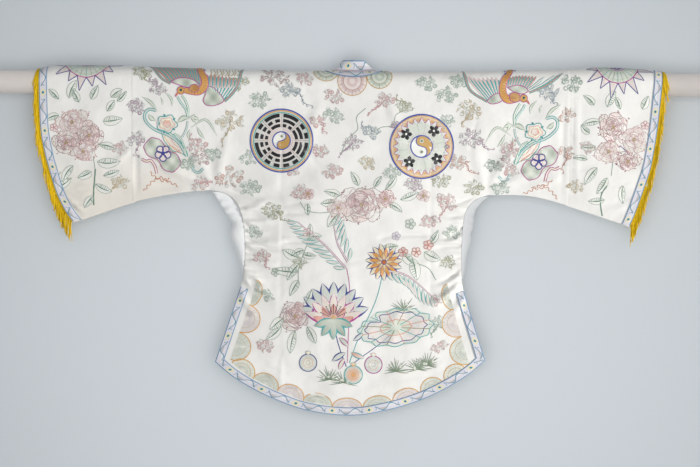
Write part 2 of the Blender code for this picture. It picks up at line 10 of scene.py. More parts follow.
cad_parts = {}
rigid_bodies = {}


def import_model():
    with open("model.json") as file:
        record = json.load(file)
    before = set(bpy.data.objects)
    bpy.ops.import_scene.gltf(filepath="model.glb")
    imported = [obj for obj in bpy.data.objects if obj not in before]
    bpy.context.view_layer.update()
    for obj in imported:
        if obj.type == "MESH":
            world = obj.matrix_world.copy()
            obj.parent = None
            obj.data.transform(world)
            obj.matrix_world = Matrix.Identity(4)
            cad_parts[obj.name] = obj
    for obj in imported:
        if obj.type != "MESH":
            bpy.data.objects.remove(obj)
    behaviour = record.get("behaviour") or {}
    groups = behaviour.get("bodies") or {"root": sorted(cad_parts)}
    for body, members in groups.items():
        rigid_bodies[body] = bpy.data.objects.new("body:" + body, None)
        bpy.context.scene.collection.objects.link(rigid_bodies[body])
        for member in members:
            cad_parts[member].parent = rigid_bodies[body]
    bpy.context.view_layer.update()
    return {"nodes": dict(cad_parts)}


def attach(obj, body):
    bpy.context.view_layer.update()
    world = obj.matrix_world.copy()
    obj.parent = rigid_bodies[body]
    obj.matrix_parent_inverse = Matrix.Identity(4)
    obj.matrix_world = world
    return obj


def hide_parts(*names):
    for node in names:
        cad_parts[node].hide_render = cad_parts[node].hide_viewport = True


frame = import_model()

MM = 0.001


# Rod: a pole wrapped in wadding and covered with pale cotton, which carries the jacket through both
# sleeves. It runs out of the picture at both sides.

ROD_COTTON = (0.86, 0.79, 0.735)
ROD_COTTON_SHADE = (0.75, 0.685, 0.635)
# Threads of the weave, in radians for each metre
COTTON_WARP = 5200
COTTON_WEFT = 4300


class Number:
    """A number in a material's nodes. Arithmetic on it adds Math nodes."""

    def __init__(self, tree, socket):
        self.tree = tree
        self.socket = socket

    def use(self, operation, *others, clamp=False):
        node = self.tree.nodes.new("ShaderNodeMath")
        node.operation = operation
        node.use_clamp = clamp
        for slot, value in zip(node.inputs, (self,) + others):
            if isinstance(value, Number):
                self.tree.links.new(value.socket, slot)
            else:
                slot.default_value = value
        return Number(self.tree, node.outputs[0])

    def __add__(self, other):
        return self.use("ADD", other)

    def __sub__(self, other):
        return self.use("SUBTRACT", other)

    def __mul__(self, other):
        return self.use("MULTIPLY", other)

    def __truediv__(self, other):
        return self.use("DIVIDE", other)

    def less_from(self, start):
        return self.use("MULTIPLY_ADD", -1.0, start)

    def size(self):
        return self.use("ABSOLUTE")

    def wave(self):
        return self.use("SINE")

    def repeat(self, length):
        """Distance from the middle of its own repeat, less than 0 on one side."""
        return ((self / length).use("FRACT") - 0.5) * length

    def below(self, limit, soft):
        """1 where it is less than limit, 0 where it is more, with a soft step."""
        return self.less_from(limit).use("MULTIPLY_ADD", 1 / soft, 0.5, clamp=True)


class Surface:
    """A procedural material, with the node calls that the pieces share."""

    def __init__(self, name, colour, roughness):
        self.material = bpy.data.materials.new(name)
        self.material.use_nodes = True
        self.tree = self.material.node_tree
        self.shader = self.tree.nodes["Principled BSDF"]
        self.give("Base Color", (*colour, 1))
        self.give("Roughness", roughness)

    def give(self, name, value):
        self.shader.inputs[name].default_value = value

    def uv(self):
        """Two numbers: metres along the piece and metres across it."""
        place = self.tree.nodes.new("ShaderNodeUVMap")
        place.uv_map = "cloth"
        apart = self.tree.nodes.new("ShaderNodeSeparateXYZ")
        self.tree.links.new(place.outputs[0], apart.inputs[0])
        return Number(self.tree, apart.outputs[0]), Number(self.tree, apart.outputs[1])

    def where(self):
        """Three numbers: the point's place on the object, in metres."""
        place = self.tree.nodes.new("ShaderNodeTexCoord")
        apart = self.tree.nodes.new("ShaderNodeSeparateXYZ")
        self.tree.links.new(place.outputs["Object"], apart.inputs[0])
        return [Number(self.tree, output) for output in apart.outputs]

    def noise(self, scale, detail=2.0, stretch=(1, 1, 1)):
        place = self.tree.nodes.new("ShaderNodeTexCoord")
        pull = self.tree.nodes.new("ShaderNodeMapping")
        pull.inputs["Scale"].default_value = stretch
        node = self.tree.nodes.new("ShaderNodeTexNoise")
        node.inputs["Scale"].default_value = scale
        node.inputs["Detail"].default_value = detail
        self.tree.links.new(place.outputs["Object"], pull.inputs["Vector"])
        self.tree.links.new(pull.outputs["Vector"], node.inputs["Vector"])
        return Number(self.tree, node.outputs["Fac"])

    def attribute(self, name):
        node = self.tree.nodes.new("ShaderNodeAttribute")
        node.attribute_name = name
        return node.outputs["Color"]

    def mix(self, mask, first, second):
        """A colour socket: first where the mask is 0, second where it is 1."""
        node = self.tree.nodes.new("ShaderNodeMix")
        node.data_type = "RGBA"
        self.tree.links.new(mask.socket, node.inputs["Factor"])
        for slot, colour in ((node.inputs[6], first), (node.inputs[7], second)):
            if isinstance(colour, tuple):
                slot.default_value = (*colour, 1)
            else:
                self.tree.links.new(colour, slot)
        return node.outputs[2]

    def set(self, name, value):
        self.tree.links.new(value.socket if isinstance(value, Number) else value, self.shader.inputs[name])

    def bump(self, height, strength, distance):
        node = self.tree.nodes.new("ShaderNodeBump")
        node.inputs["Strength"].default_value = strength
        node.inputs["Distance"].default_value = distance
        self.tree.links.new(height.socket, node.inputs["Height"])
        before = self.shader.inputs["Normal"].links
        if before:
            self.tree.links.new(before[0].from_socket, node.inputs["Normal"])
        self.tree.links.new(node.outputs["Normal"], self.shader.inputs["Normal"])


cotton = Surface("padded_rod_cotton", ROD_COTTON, 0.9)
cotton.give("Sheen Weight", 0.25)
cotton.set("Base Color", cotton.mix(cotton.noise(14, 4), ROD_COTTON, ROD_COTTON_SHADE))
along, _, height = cotton.where()
threads = (along * COTTON_WARP).wave() + (height * COTTON_WEFT).wave()
cotton.bump(threads, 0.25, 0.0002)
cotton.bump(cotton.noise(22, 3, (0.5, 1, 1)), 0.5, 0.004)
rod = frame["nodes"]["rod"]
for place in rod.material_slots:
    place.material = cotton.material


# Body: back, upper sleeves and two fronts, cut in one piece over the shoulders from ivory silk satin.
# It lies over the rod, hangs to a curved hem, and is gathered along both back side seams.

IVORY = (0.848, 0.84, 0.812)
IVORY_SHADE = (0.72, 0.675, 0.60)
# Painted shade: low on the left sleeve the satin's colour is painted darker and creamier, as the shade where
# the cloth turns away from the light: metres below the fold, and left of the middle
PAINTED_SHADE_BELOW = 0.17
PAINTED_SHADE_LEFT_OF = 0.30
# The satin's floats: radians for each metre, columns for each metre, radians from column to column
SATIN_FLOATS = 9000
SATIN_COLUMNS = 1250
SATIN_STEP = 2.1
BODY_WALL = 0.75
FOLD_RADIUS = 27.3
QUARTER_ARC = FOLD_RADIUS * math.pi / 2
SIDES = ((-1, "left"), (1, "right"))
WORD = dict(SIDES)
SLEEVE_SEAM = {-1: -486.0, 1: 473.0}
EDGE_DEPTH = 1.86
HEM_DEPTH = 22.0
NECK_HALF_WIDTH = 47.0
NECK_BACK_DROP = QUARTER_ARC / 6
NECK_FRONT_DROP = 75.0
CENTRE_GAP = 0.6
SEAM_SHARE = 0.15
COLUMN_SPACING = 5.0
# Rows of points down each panel: on the rod, down to the armpits, beside the gathers, beside the slits
BACK_ROWS = (9, 47, 74, 38)
FRONT_ROWS = (9, 32, 32, 26)
# How the cloth's depth shrinks down the sleeves: 1 is evenly, and more is mostly low down
KNEE = 1.5
# Steps up and down in which the depth is averaged, and the share of each
EASING = ((-54, 0.12), (-27, 0.23), (0, 0.30), (27, 0.23), (54, 0.12))

# The sleeves' lower edges, in millimetres from the rod's axis
UNDERSIDE_COLUMNS = ("x", "z")
UNDERSIDE = {
    -1: ((-614.9, -307.5), (-601.5, -304.4), (-490.6, -265.1), (-423.0, -249.4), (-358.6, -239.2),
         (-313.5, -235.6)),
    1: ((297.0, -243.6), (385.0, -245.2), (459.8, -262.6), (590.9, -306.0), (607.2, -312.2)),
}
ARMPIT = {-1: UNDERSIDE[-1][-1], 1: UNDERSIDE[1][0]}
ARMPIT_X = {side: ARMPIT[side][0] for side in WORD}
ARMPIT_Z = {side: ARMPIT[side][1] for side in WORD}
# The side seams from the slits' lower corners up to the armpits, and how the gussets stand out there
SIDE_COLUMNS = ("left_z", "left_x", "left_bulge", "right_z", "right_x", "right_bulge", "depth")
SIDE_SEAM = (
    (-612.7, -301.2, 0.0, -606.4, 290.8, 0.0, 13.0),
    (-447.0, -246.0, 0.0, -455.0, 243.5, 0.0, 8.0),
    (-420.1, -240.0, 2.5, -433.1, 239.1, 2.5, 9.0),
    (-393.7, -237.6, 12.4, -408.9, 238.3, 8.0, 11.0),
    (-365.1, -236.7, 22.5, -375.9, 237.2, 13.6, 12.0),
    (-336.5, -237.6, 31.8, -342.9, 238.3, 21.2, 12.0),
    (-306.8, -240.5, 27.6, -309.9, 241.1, 22.9, 11.0),
    (-281.5, -247.5, 36.0, -284.8, 245.1, 21.7, 8.5),
    (-259.6, -259.2, 37.0, -268.0, 254.0, 21.0, 6.0),
    (-242.1, -282.7, 24.5, -253.0, 270.0, 18.9, 3.5),
    (-235.6, -313.5, 2.5, -243.6, 297.0, 2.5, 1.86),
)
SLIT_TOP = {-1: (-246.0, -447.0), 1: (243.5, -455.0)}
HEM_COLUMNS = ("x", "z")
HEM_EDGE = (
    (-301.2, -612.7), (-262.5, -644.6), (-207.5, -676.7), (-156.2, -699.1), (-110.7, -714.9),
    (-46.2, -725.8), (15.4, -727.2), (68.2, -717.9), (116.6, -705.6), (165.0, -687.8),
    (216.7, -661.6), (261.8, -632.3), (290.8, -606.4),
)
# The gathers along the two back seams: where each starts, how far it runs in, how high it stands
GATHER_COLUMNS = ("left_z", "left_run", "left_rise", "right_z", "right_run", "right_rise")
GATHERS = (
    (-268, 34, 1.6, -273, 30, 1.5),
    (-281, 52, 2.4, -286, 46, 2.2),
    (-293, 30, 1.9, -298, 64, 2.8),
    (-305, 66, 3.0, -310, 34, 2.0),
    (-318, 40, 2.2, -323, 52, 2.6),
    (-330, 58, 2.8, -336, 28, 1.8),
    (-342, 28, 1.9, -348, 60, 2.9),
    (-355, 62, 2.7, -361, 44, 2.3),
    (-367, 44, 2.4, -374, 70, 2.8),
    (-380, 74, 3.0, -387, 38, 2.1),
    (-392, 36, 2.0, -399, 56, 2.6),
    (-404, 60, 2.6, -412, 30, 1.8),
    (-417, 46, 2.2, -425, 48, 2.2),
    (-430, 68, 2.4, -438, 36, 1.6),
)
# Half the height of one gather
GATHER_SPREAD = 4.2
# Creases in millimetres: x0, z0, x1, z1, bow, width, height. Bow is how far the middle lies sideways
CREASE_DEPTH = 1.6
BACK_CREASES = (
    (-240, -424, -150, -486, 6, 9, 4.03),
    (-246, -408, -176, -440, 4, 7, 2.63),
    (-238, -395, -150, -408, -5, 8, 2.33),
    (-240, -352, -140, -346, 5, 8, 2.02),
    (-243, -310, -150, -288, 6, 9, 2.17),
    (-247, -284, -170, -246, 4, 8, 1.86),
    (-248, -452, -205, -520, 4, 8, 2.33),
    (239, -440, 152, -492, -6, 9, 3.72),
    (238, -418, 170, -452, -4, 7, 2.63),
    (238, -385, 140, -398, 5, 8, 2.33),
    (239, -346, 150, -338, -5, 8, 1.86),
    (242, -308, 160, -284, -6, 9, 2.02),
    (247, -280, 178, -240, -4, 8, 1.71),
    (246, -458, 208, -524, -4, 8, 2.17),
    (-156, -34, -158, -668, 2, 4, -0.7),
    (169, -34, 168, -660, -2, 4, -0.7),
    (-310, -232, -382, -118, 8, 14, 2.33),
    (-318, -236, -440, -176, 6, 11, 1.86),
    (-300, -226, -268, -120, -5, 12, 1.86),
    (298, -238, 372, -124, -8, 14, 2.17),
    (306, -242, 430, -182, -6, 11, 1.86),
    (286, -232, 258, -126, 5, 12, 1.71),
    (-70, -36, -104, -180, 6, 12, 1.4),
    (74, -36, 112, -186, -6, 12, 1.4),
    (-8, -380, 26, -560, 8, 18, 1.4),
    (-96, -470, -70, -650, -6, 16, 1.4),
    (104, -480, 84, -640, 6, 16, 1.4),
    (-275, -230, -196, -256, 4.4, 4.4, -1.8), (-268, -221, -227, -234, 2.2, 3.5, 1.4),
    (-246, -282, -198, -293, -2.2, 4, -1.6), (-242, -274, -172, -278, 2.2, 3.5, 1.2),
    (-242, -302, -200, -335, 4.4, 4, -2), (-240, -315, -183, -331, 4.4, 3.5, 1.5),
    (-238, -331, -200, -340, -2.2, 3.5, -1.6), (-238, -342, -150, -366, 6.6, 4.8, -2.6),
    (-235, -355, -158, -377, 4.4, 4, 1.8), (-235, -368, -187, -381, 2.2, 3.5, -1.4),
    (-235, -392, -187, -406, 2.2, 3.5, -1.3), (-235, -410, -200, -421, 2.2, 3.5, 1.2),
    (-231, -425, -161, -483, 11, 5.3, -2.6), (-218, -423, -152, -458, 8.8, 4.4, 1.8),
    (-158, -351, -46, -357, -6.6, 4.4, -2.2), (-152, -340, -77, -342, 2.2, 3.5, 1.3),
    (-156, -285, -81, -282, 2.2, 4.8, -1.8), (-147, -267, -51, -260, -2.2, 4.4, -1),
    (-227, -243, -152, -249, 4.4, 9.9, -2.2), (-227, -502, -174, -520, 4.4, 4, 1.2),
    (-242, -575, -183, -595, 4.4, 4, -1.2), (266, -247, 191, -269, -4.4, 4.4, -1.6),
    (249, -287, 205, -296, 2.2, 3.7, -1.4), (244, -313, 191, -344, -4.4, 4.2, -2),
    (242, -335, 169, -351, -4.4, 4, 1.6), (240, -357, 165, -366, 4.4, 4.8, -2.4),
    (238, -379, 183, -392, -2.2, 3.5, -1.4), (235, -406, 174, -441, -6.6, 4.8, -2.2),
    (233, -432, 178, -476, -6.6, 4.4, 1.8), (169, -335, 86, -340, 4.4, 4.2, -1.8),
    (-117, -670, -29, -683, 6.6, 4.4, -1.2), (42, -678, 125, -661, 6.6, 4.4, -1.2),
    (-200, -626, -108, -656, 6.6, 4.4, 1.2), (205, -608, 130, -634, -6.6, 4.4, 1.2),
    (-110, -1, -92, -27, 4.4, 4.8, -1.5), (99, -10, 147, -27, 4.4, 4.8, -1),
    (-629, -247, -574, -260, 4.4, 3.7, -1.5), (-623, -256, -583, -285, 4.4, 3.7, 1.6),
    (-636, -216, -587, -221, 2.2, 3.5, -1.3), (-612, -232, -552, -238, -2.2, 3.5, 1.2),
    (-618, -269, -592, -300, 2.2, 3.5, -1.5), (-662, -54, -618, -32, 2.2, 3.7, 1),
    (-649, -146, -605, -159, 2.2, 3.7, -1), (609, -247, 552, -260, -4.4, 3.7, -1.5),
    (601, -269, 543, -278, -2.2, 3.7, 1.4), (592, -287, 557, -304, 2.2, 3.5, -1.4),
    (616, -221, 565, -234, 2.2, 3.5, 1.1), (631, -179, 583, -194, 2.2, 3.7, -1),
    (-480, -161, -359, -214, -4.4, 6.6, 1.9), (-488, -150, -526, -186, 2.2, 5.7, 1.6),
    (-447, -221, -332, -236, 4.4, 7.7, -1.7), (-359, -203, -279, -221, 4.4, 5.3, -1.7),
    (-389, -234, -301, -230, 2.2, 4.4, 1.2), (-475, -146, -473, -271, 2.2, 4, -1.5),
    (455, -203, 363, -230, -4.4, 6.6, 1.7), (462, -186, 526, -181, 2.2, 4.8, -1.2),
    (460, -27, 458, -269, 0, 4, -1.3), (488, -14, 491, -278, 0, 4, 1.1),
    (425, -234, 306, -234, 4.4, 6.6, -1.5), (359, -203, 284, -230, 4.4, 5.3, -1.7),
    (-51, -392, 42, -384, 4.4, 5.7, -1), (51, -344, 147, -326, -4.4, 5.3, -1.2),
    (-117, -124, -51, -203, 6.6, 5.7, -0.9), (103, -225, 191, -247, 4.4, 5.3, -1.1),
    (-447, -80, -389, -98, 4.4, 5.3, -1), (-257, -58, -284, -168, 4.4, 4.8, 0.9),
    (271, -76, 257, -190, 4.4, 5.3, -0.9),
    (-634, -246, -566, -238, 5, 4.5, 1.3), (-628, -262, -580, -262, -4, 4, 1.1),
    (-616, -276, -556, -268, 3, 5, 1.2), (-600, -232, -540, -236, 3, 4.5, -0.9),
    (-154, -604, -157, -690, 1.5, 4, 1), (-190, -610, -110, -640, 5, 5, 0.9),
    (-160, -656, -84, -680, -4, 5, 1), (-120, -618, -40, -652, 5, 6, 0.9),
    (-60, -668, 10, -676, 4, 5, 0.9), (60, -640, 150, -622, 5, 6, 0.9),
    (96, -664, 170, -650, -4, 5, 0.9), (-158, -240, -160, -420, 2, 4, 0.8),
)
FRONT_CREASES = (
    (-244, -300, -160, -262, 5, 9, 1.4),
    (-240, -380, -150, -410, 4, 8, 1.4),
    (-246, -440, -170, -500, 5, 9, 1.6),
    (243, -306, 165, -270, -5, 9, 1.3),
    (239, -392, 150, -420, -4, 8, 1.4),
    (245, -448, 176, -506, -5, 9, 1.5),
    (-150, -34, -152, -664, 2, 4, -0.7),
    (162, -34, 160, -656, -2, 4, -0.7),
    (-310, -232, -390, -126, 8, 14, 1.4),
    (300, -238, 380, -130, -8, 14, 1.4),
    (-26, -140, -44, -420, 5, 13, 1.0),
    (30, -150, 52, -440, -5, 13, 1.0),
)
# Slow waves all over the cloth: wavelength, direction in degrees, height, phase
WAVES = (
    (210, 12, 0.75, 0.4), (148, 96, 0.6, 1.9), (97, -38, 0.5, 0.7), (74, 61, 0.42, 3.3),
    (122, 150, 0.5, 5.0), (46, 28, 0.2, 2.2), (39, 118, 0.16, 0.2),
)
# Between the neck and the cuffs the fold stands a little above the rod: x, rise
FOLD_RISE = (
    (-697, 0), (-671, 6.5), (-645, 8.6), (-565, 9), (-486, 8.6), (-433, 6.2), (-381, 5), (-301, 2.2),
    (-196, 1.2), (-117, 0), (154, 0), (286, 2.2), (365, 4), (418, 5), (471, 7), (524, 9.2), (576, 9.4),
    (629, 6.2), (656, 4.6), (682, 0),
)
FOLD_RISE_REACH = 150.0
# Creases and the eased depth fade in below the rod over this distance. The eased depth ends at a height
# and fades in beside the armpits
EASED_OVER = 60
EASED_TO = -560
EASED_BESIDE = 80


def smooth(knots, values, at):
    """A smooth curve through a table's rows, read at many places. Its ends are held."""
    knots = np.asarray(knots, float)
    values = np.asarray(values, float)
    last = len(knots) - 1
    low = np.maximum(np.arange(last + 1) - 1, 0)
    high = np.minimum(np.arange(last + 1) + 1, last)
    slopes = (values[high] - values[low]) / (knots[high] - knots[low])
    at = np.clip(at, knots[0], knots[-1])
    i = np.clip(np.searchsorted(knots, at, side="right") - 1, 0, last - 1)
    span = knots[i + 1] - knots[i]
    t = (at - knots[i]) / span
    rise = (3 - 2 * t) * t * t
    into = ((1 - t) ** 2 * slopes[i] + (t - 1) * t * slopes[i + 1]) * t * span
    return values[i] + (values[i + 1] - values[i]) * rise + into


def column(table, names, name):
    return [row[names.index(name)] for row in table]


def mix(a, b, t):
    return a + (b - a) * t


def along_seam(side, name, z):
    """A column of the side seam's table, read at heights z."""
    heights = column(SIDE_SEAM, SIDE_COLUMNS, WORD[side] + "_z")
    return smooth(heights, column(SIDE_SEAM, SIDE_COLUMNS, name), z)


def side_x(side, z):
    return along_seam(side, WORD[side] + "_x", z)


def underside_z(side, x):
    return smooth(*(column(UNDERSIDE[side], UNDERSIDE_COLUMNS, name) for name in UNDERSIDE_COLUMNS), x)


HEM_X = column(HEM_EDGE, HEM_COLUMNS, "x")
HEM_Z = column(HEM_EDGE, HEM_COLUMNS, "z")


def level_z(x):
    """The line from armpit to armpit."""
    return mix(ARMPIT_Z[-1], ARMPIT_Z[1], (x - ARMPIT_X[-1]) / (ARMPIT_X[1] - ARMPIT_X[-1]))


def half_depth(x, z):
    """How far the cloth stands from the middle plane, below the rod. The sleeves tilt in low down."""
    under = np.where(x < 0, underside_z(-1, x), underside_z(1, x))
    sleeve = mix(FOLD_RADIUS, EDGE_DEPTH, np.clip(z / under, 0, 1) ** KNEE)
    top = level_z(x)
    below = np.minimum(z, top)
    left = side_x(-1, np.minimum(below, ARMPIT_Z[-1]))
    right = side_x(1, np.minimum(below, ARMPIT_Z[1]))
    share = np.clip(2 * np.minimum(x - left, right - x) / (right - left), 0, 1)
    edge = np.where(x < 0, along_seam(-1, "depth", below), along_seam(1, "depth", below))
    low = mix(edge, mix(FOLD_RADIUS, HEM_DEPTH, z / min(HEM_Z)), np.sin(share * math.pi / 2))
    above = mix(FOLD_RADIUS, low, np.clip(z / top, 0, 1) ** mix(KNEE, 1, share))
    body = np.where(z >= top, above, low)
    return np.where((x <= ARMPIT_X[-1]) | (x >= ARMPIT_X[1]), sleeve, body)


def eased_depth(x, z):
    """The same, with the bend on the line from armpit to armpit eased away towards the middle."""
    plain = half_depth(x, z)
    eased = sum(share * half_depth(x, z + step) for step, share in EASING)
    inward = np.clip(np.minimum(x - ARMPIT_X[-1], ARMPIT_X[1] - x) / EASED_BESIDE, 0, 1)
    upper, lower = np.clip(-z / EASED_OVER, 0, 1), np.clip((z - EASED_TO) / EASED_OVER, 0, 1)
    return mix(plain, eased, inward * upper * lower)


def gather_rise(x, z):
    """Height of the gathers that run in from the back seams."""
    total = np.zeros_like(x)
    for side, word in SIDES:
        inward = np.abs(x - side_x(side, z))
        here = (np.sign(x) == side) & (z <= ARMPIT_Z[side])
        for row in GATHERS:
            named = dict(zip(GATHER_COLUMNS, row))
            fade = np.maximum(1 - inward / named[word + "_run"], 0) ** 1.3
            ridge = np.exp(-((z - named[word + "_z"]) / GATHER_SPREAD) ** 2)
            total += here * named[word + "_rise"] * fade * ridge
    return total


def crease_rise(creases, x, z):
    total = np.zeros_like(x)
    for x0, z0, x1, z1, bow, width, height in creases:
        long = math.hypot(x1 - x0, z1 - z0)
        along = ((x - x0) * (x1 - x0) + (z - z0) * (z1 - z0)) / long ** 2
        across = ((x - x0) * (z1 - z0) - (z - z0) * (x1 - x0)) / long
        across = across - bow * (1 - (2 * along - 1) ** 2)
        fade = np.clip(along / 0.18 + 0.15, 0, 1) * np.clip((1 - along) / 0.45, 0, 1)
        spread = width * (0.75 + 0.5 * np.clip(along, 0, 1))
        total += CREASE_DEPTH * height * fade * np.exp(-(across / spread) ** 2)
    return total


def wave_rise(x, v):
    total = np.zeros_like(x)
    for length, turn, height, phase in WAVES:
        along = x * math.cos(math.radians(turn)) + v * math.sin(math.radians(turn))
        total += height * np.sin(2 * math.pi * along / length + phase + 0.7 * np.sin(v / 83 + phase))
    return total


def fold_rise(x, drop):
    """How much higher the fold stands than the flat pattern, less and less down the cloth."""
    fade = 0.5 + 0.5 * np.cos(math.pi * np.clip(drop / FOLD_RISE_REACH, 0, 1))
    return smooth(*np.transpose(FOLD_RISE), x) * fade


def cloth(x, v, lift=0.0):
    """Points in millimetres for places on the flat cloth. x runs along the rod, and v is the distance from
    the shoulder fold: less than 0 down the back and more than 0 down the front. Lift moves them out."""
    x, v = np.broadcast_arrays(np.asarray(x, float), np.asarray(v, float))
    drop = np.abs(v)
    z = QUARTER_ARC - drop
    hung = np.clip(-z / EASED_OVER, 0, 1)
    deep = eased_depth(x, z)
    rise = wave_rise(x, v) * hung
    rise += np.where(v < 0, gather_rise(x, z) + crease_rise(BACK_CREASES, x, z) * hung,
                     crease_rise(FRONT_CREASES, x, z) * hung)
    out = deep + rise * np.clip((deep - EDGE_DEPTH) / 3, 0, 1)
    turn = drop / FOLD_RADIUS
    on_rod = drop < QUARTER_ARC
    away = np.where(on_rod, (FOLD_RADIUS + lift) * np.sin(turn), out + lift)
    high = np.where(on_rod, (FOLD_RADIUS + lift) * np.cos(turn), z)
    high = high + fold_rise(x, drop)
    return np.stack([x, np.where(v < 0, -away, away), high], axis=-1)


def neck_drop(layer, x):
    """How far below the fold the cloth starts, inside the neck hole."""
    deep = NECK_BACK_DROP if layer < 0 else NECK_FRONT_DROP
    share = np.clip(np.abs(x) / NECK_HALF_WIDTH, 0, 1)
    return deep * np.sqrt(1 - share * share)


def add_mesh(name, points, faces, uv, surface):
    """A piece from points in millimetres, with a flat place for each point in metres."""
    mesh = bpy.data.meshes.new(name)
    mesh.from_pydata((np.asarray(points) * MM).tolist(), [], [list(face) for face in faces])
    layer = mesh.uv_layers.new(name="cloth")
    corners = np.zeros(len(mesh.loops), dtype=np.int64)
    mesh.loops.foreach_get("vertex_index", corners)
    layer.data.foreach_set("uv", np.asarray(uv, float)[corners].ravel())
    mesh.shade_smooth()
    mesh.materials.append(surface.material)
    piece = bpy.data.objects.new(name, mesh)
    bpy.context.scene.collection.objects.link(piece)
    return piece


def stacked(*parts):
    """Numbers side by side, each spread over the rows and columns of the others."""
    return np.stack(np.broadcast_arrays(*parts), axis=-1)


def grid_faces(rows, columns, start=0):
    r, c = np.meshgrid(np.arange(rows - 1), np.arange(columns - 1), indexing="ij")
    a = (start + r * columns + c).ravel()
    return np.stack([a, a + columns, a + columns + 1, a + 1], axis=1)


def thicken(piece, wall):
    """Gives a sheet its thickness, on its inside."""
    solid = piece.modifiers.new("wall", "SOLIDIFY")
    solid.thickness = wall * MM
    solid.offset = -1
    even_shading = piece.modifiers.new("crisp_edges", "WEIGHTED_NORMAL")
    even_shading.weight = 100


def body_places(layer, edge_rows, hang_rows, side_rows, slit_rows, columns):
    """Grids of x and v for one layer: the whole width down to the armpits, then the part below them."""
    shares = (columns - ARMPIT_X[-1]) / (ARMPIT_X[1] - ARMPIT_X[-1])
    inside = (columns >= ARMPIT_X[-1]) & (columns <= ARMPIT_X[1])
    bottom = np.where(columns < ARMPIT_X[-1], underside_z(-1, columns),
                      np.where(columns > ARMPIT_X[1], underside_z(1, columns), level_z(columns)))
    plain = [QUARTER_ARC * i / edge_rows + 0 * columns for i in range(edge_rows)]
    plain += [QUARTER_ARC - bottom * i / hang_rows for i in range(hang_rows + 1)]
    plain = np.array(plain)
    start = neck_drop(layer, columns)
    drops = start + plain * (1 - start / plain[-1])
    xs = np.broadcast_to(columns, drops.shape)
    low_x, low_z = [], []
    shares = shares[inside]
    for i in range(side_rows + 1):
        left_z, right_z = (mix(ARMPIT_Z[side], SLIT_TOP[side][1], i / side_rows) for side in WORD)
        low_x.append(mix(side_x(-1, left_z), side_x(1, right_z), shares))
        low_z.append(mix(left_z, right_z, shares))
    hem_x = mix(HEM_X[0], HEM_X[-1], shares)
    hem_z = smooth(HEM_X, HEM_Z, hem_x)
    for i in range(1, slit_rows + 1):
        low_x.append(mix(low_x[side_rows], hem_x, i / slit_rows))
        low_z.append(mix(low_z[side_rows], hem_z, i / slit_rows))
    return (xs, layer * drops), (np.array(low_x), layer * (QUARTER_ARC - np.array(low_z)))


def body_columns(spacing, middle):
    neck = NECK_HALF_WIDTH * np.cos(np.radians(np.linspace(0, 90, 13)))[1:-1]
    stops = (SLEEVE_SEAM[-1] + SEAM_SHARE, ARMPIT_X[-1], -NECK_HALF_WIDTH,
             NECK_HALF_WIDTH, ARMPIT_X[1], SLEEVE_SEAM[1] - SEAM_SHARE)
    left_sleeve, left, _, right, right_sleeve = (
        np.linspace(low, high, int((high - low) / spacing)) for low, high in zip(stops, stops[1:]))
    return np.concatenate([left_sleeve[:-1], left, -neck, middle, neck[::-1], right, right_sleeve[1:]])


def add_body(surface):
    """The back and the fronts in one mesh, joined along the fold outside the neck hole."""
    flats, faces, count = [], [], 0
    back = body_columns(COLUMN_SPACING, [0.0])
    front = body_columns(COLUMN_SPACING, [-CENTRE_GAP / 2, CENTRE_GAP / 2])
    panels = ((-1, back, BACK_ROWS), (1, front[front < 0], FRONT_ROWS), (1, front[front > 0], FRONT_ROWS))
    for layer, columns, rows in panels:
        grids = body_places(layer, *rows, columns)
        for xs, vs in grids:
            flats.append(np.stack([xs, vs], axis=-1).reshape(-1, 2))
            cells = grid_faces(*xs.shape, count)
            faces.append(cells if layer < 0 else cells[:, ::-1])
            count += xs.size
    flat = np.concatenate(flats)
    _, first, merged = np.unique(np.round(flat, 3), axis=0, return_index=True, return_inverse=True)
    flat = flat[first]
    faces = merged.ravel()[np.concatenate(faces)]
    return add_mesh("body_satin", cloth(flat[:, 0], flat[:, 1]), faces, flat * MM, surface)


def satin(name, colour, shade):
    """Silk satin: long floats across a fine weave, a soft sheen, and faint wrinkles from storage."""
    surface = Surface(name, colour, 0.42)
    surface.give("Sheen Weight", 0.12)
    surface.give("Sheen Roughness", 0.4)
    surface.give("Specular IOR Level", 0.42)
    across, down = surface.uv()
    # The tone mixes a random mottle with painted shade, darker and creamier low on the left sleeve
    low = (down.size() - PAINTED_SHADE_BELOW).use("MULTIPLY", 9.0, clamp=True)
    painted_shade = low * (across * -1.0 - PAINTED_SHADE_LEFT_OF).use("MULTIPLY", 8.0, clamp=True)
    tone = surface.noise(7, 3) * 0.5 + painted_shade * 0.7
    surface.set("Base Color", surface.mix(tone.use("MINIMUM", 1.0), colour, shade))
    floats = (down * SATIN_FLOATS + (across * SATIN_COLUMNS).use("FLOOR") * SATIN_STEP).wave()
    surface.bump(floats, 0.12, 0.0001)
    surface.bump(surface.noise(95, 3), 0.22, 0.0012)
    surface.bump(surface.noise(26, 2), 0.32, 0.004)
    surface.bump(surface.noise(9, 4, (1, 3.2, 1)), 0.5, 0.007)
    return surface


ivory = satin("ivory_silk_satin", IVORY, IVORY_SHADE)
body = add_body(ivory)
thicken(body, BODY_WALL)
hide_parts("back", "front_left", "front_right")
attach(body, "root")


# Sleeve ends: straight lengths of the same satin that make the sleeves longer, each one piece round the
# rod and down both layers, sewn to the body with a seam that puckers a little.

CUFF_COLUMNS = ("z", "left_x", "right_x")
CUFF_EDGE = (
    (-312.0, -612.0, 607.3),
    (-281.0, -633.6, 620.0),
    (-244.0, -651.2, 632.6),
    (-193.0, -666.6, 648.9),
    (-160.0, -675.4, 655.8),
    (-110.0, -684.2, 663.2),
    (-39.0, -687.5, 670.5),
    (28.0, -688.6, 676.7),
)
SEAM_LAP = 5.0
SEAM_SINK = 0.15
PUCKER_STEP = 6.5
PUCKER_HEIGHT = 0.35
PUCKER_AT = 3
PUCKER_REACH = 3.5
SLEEVE_END_ROWS = 151


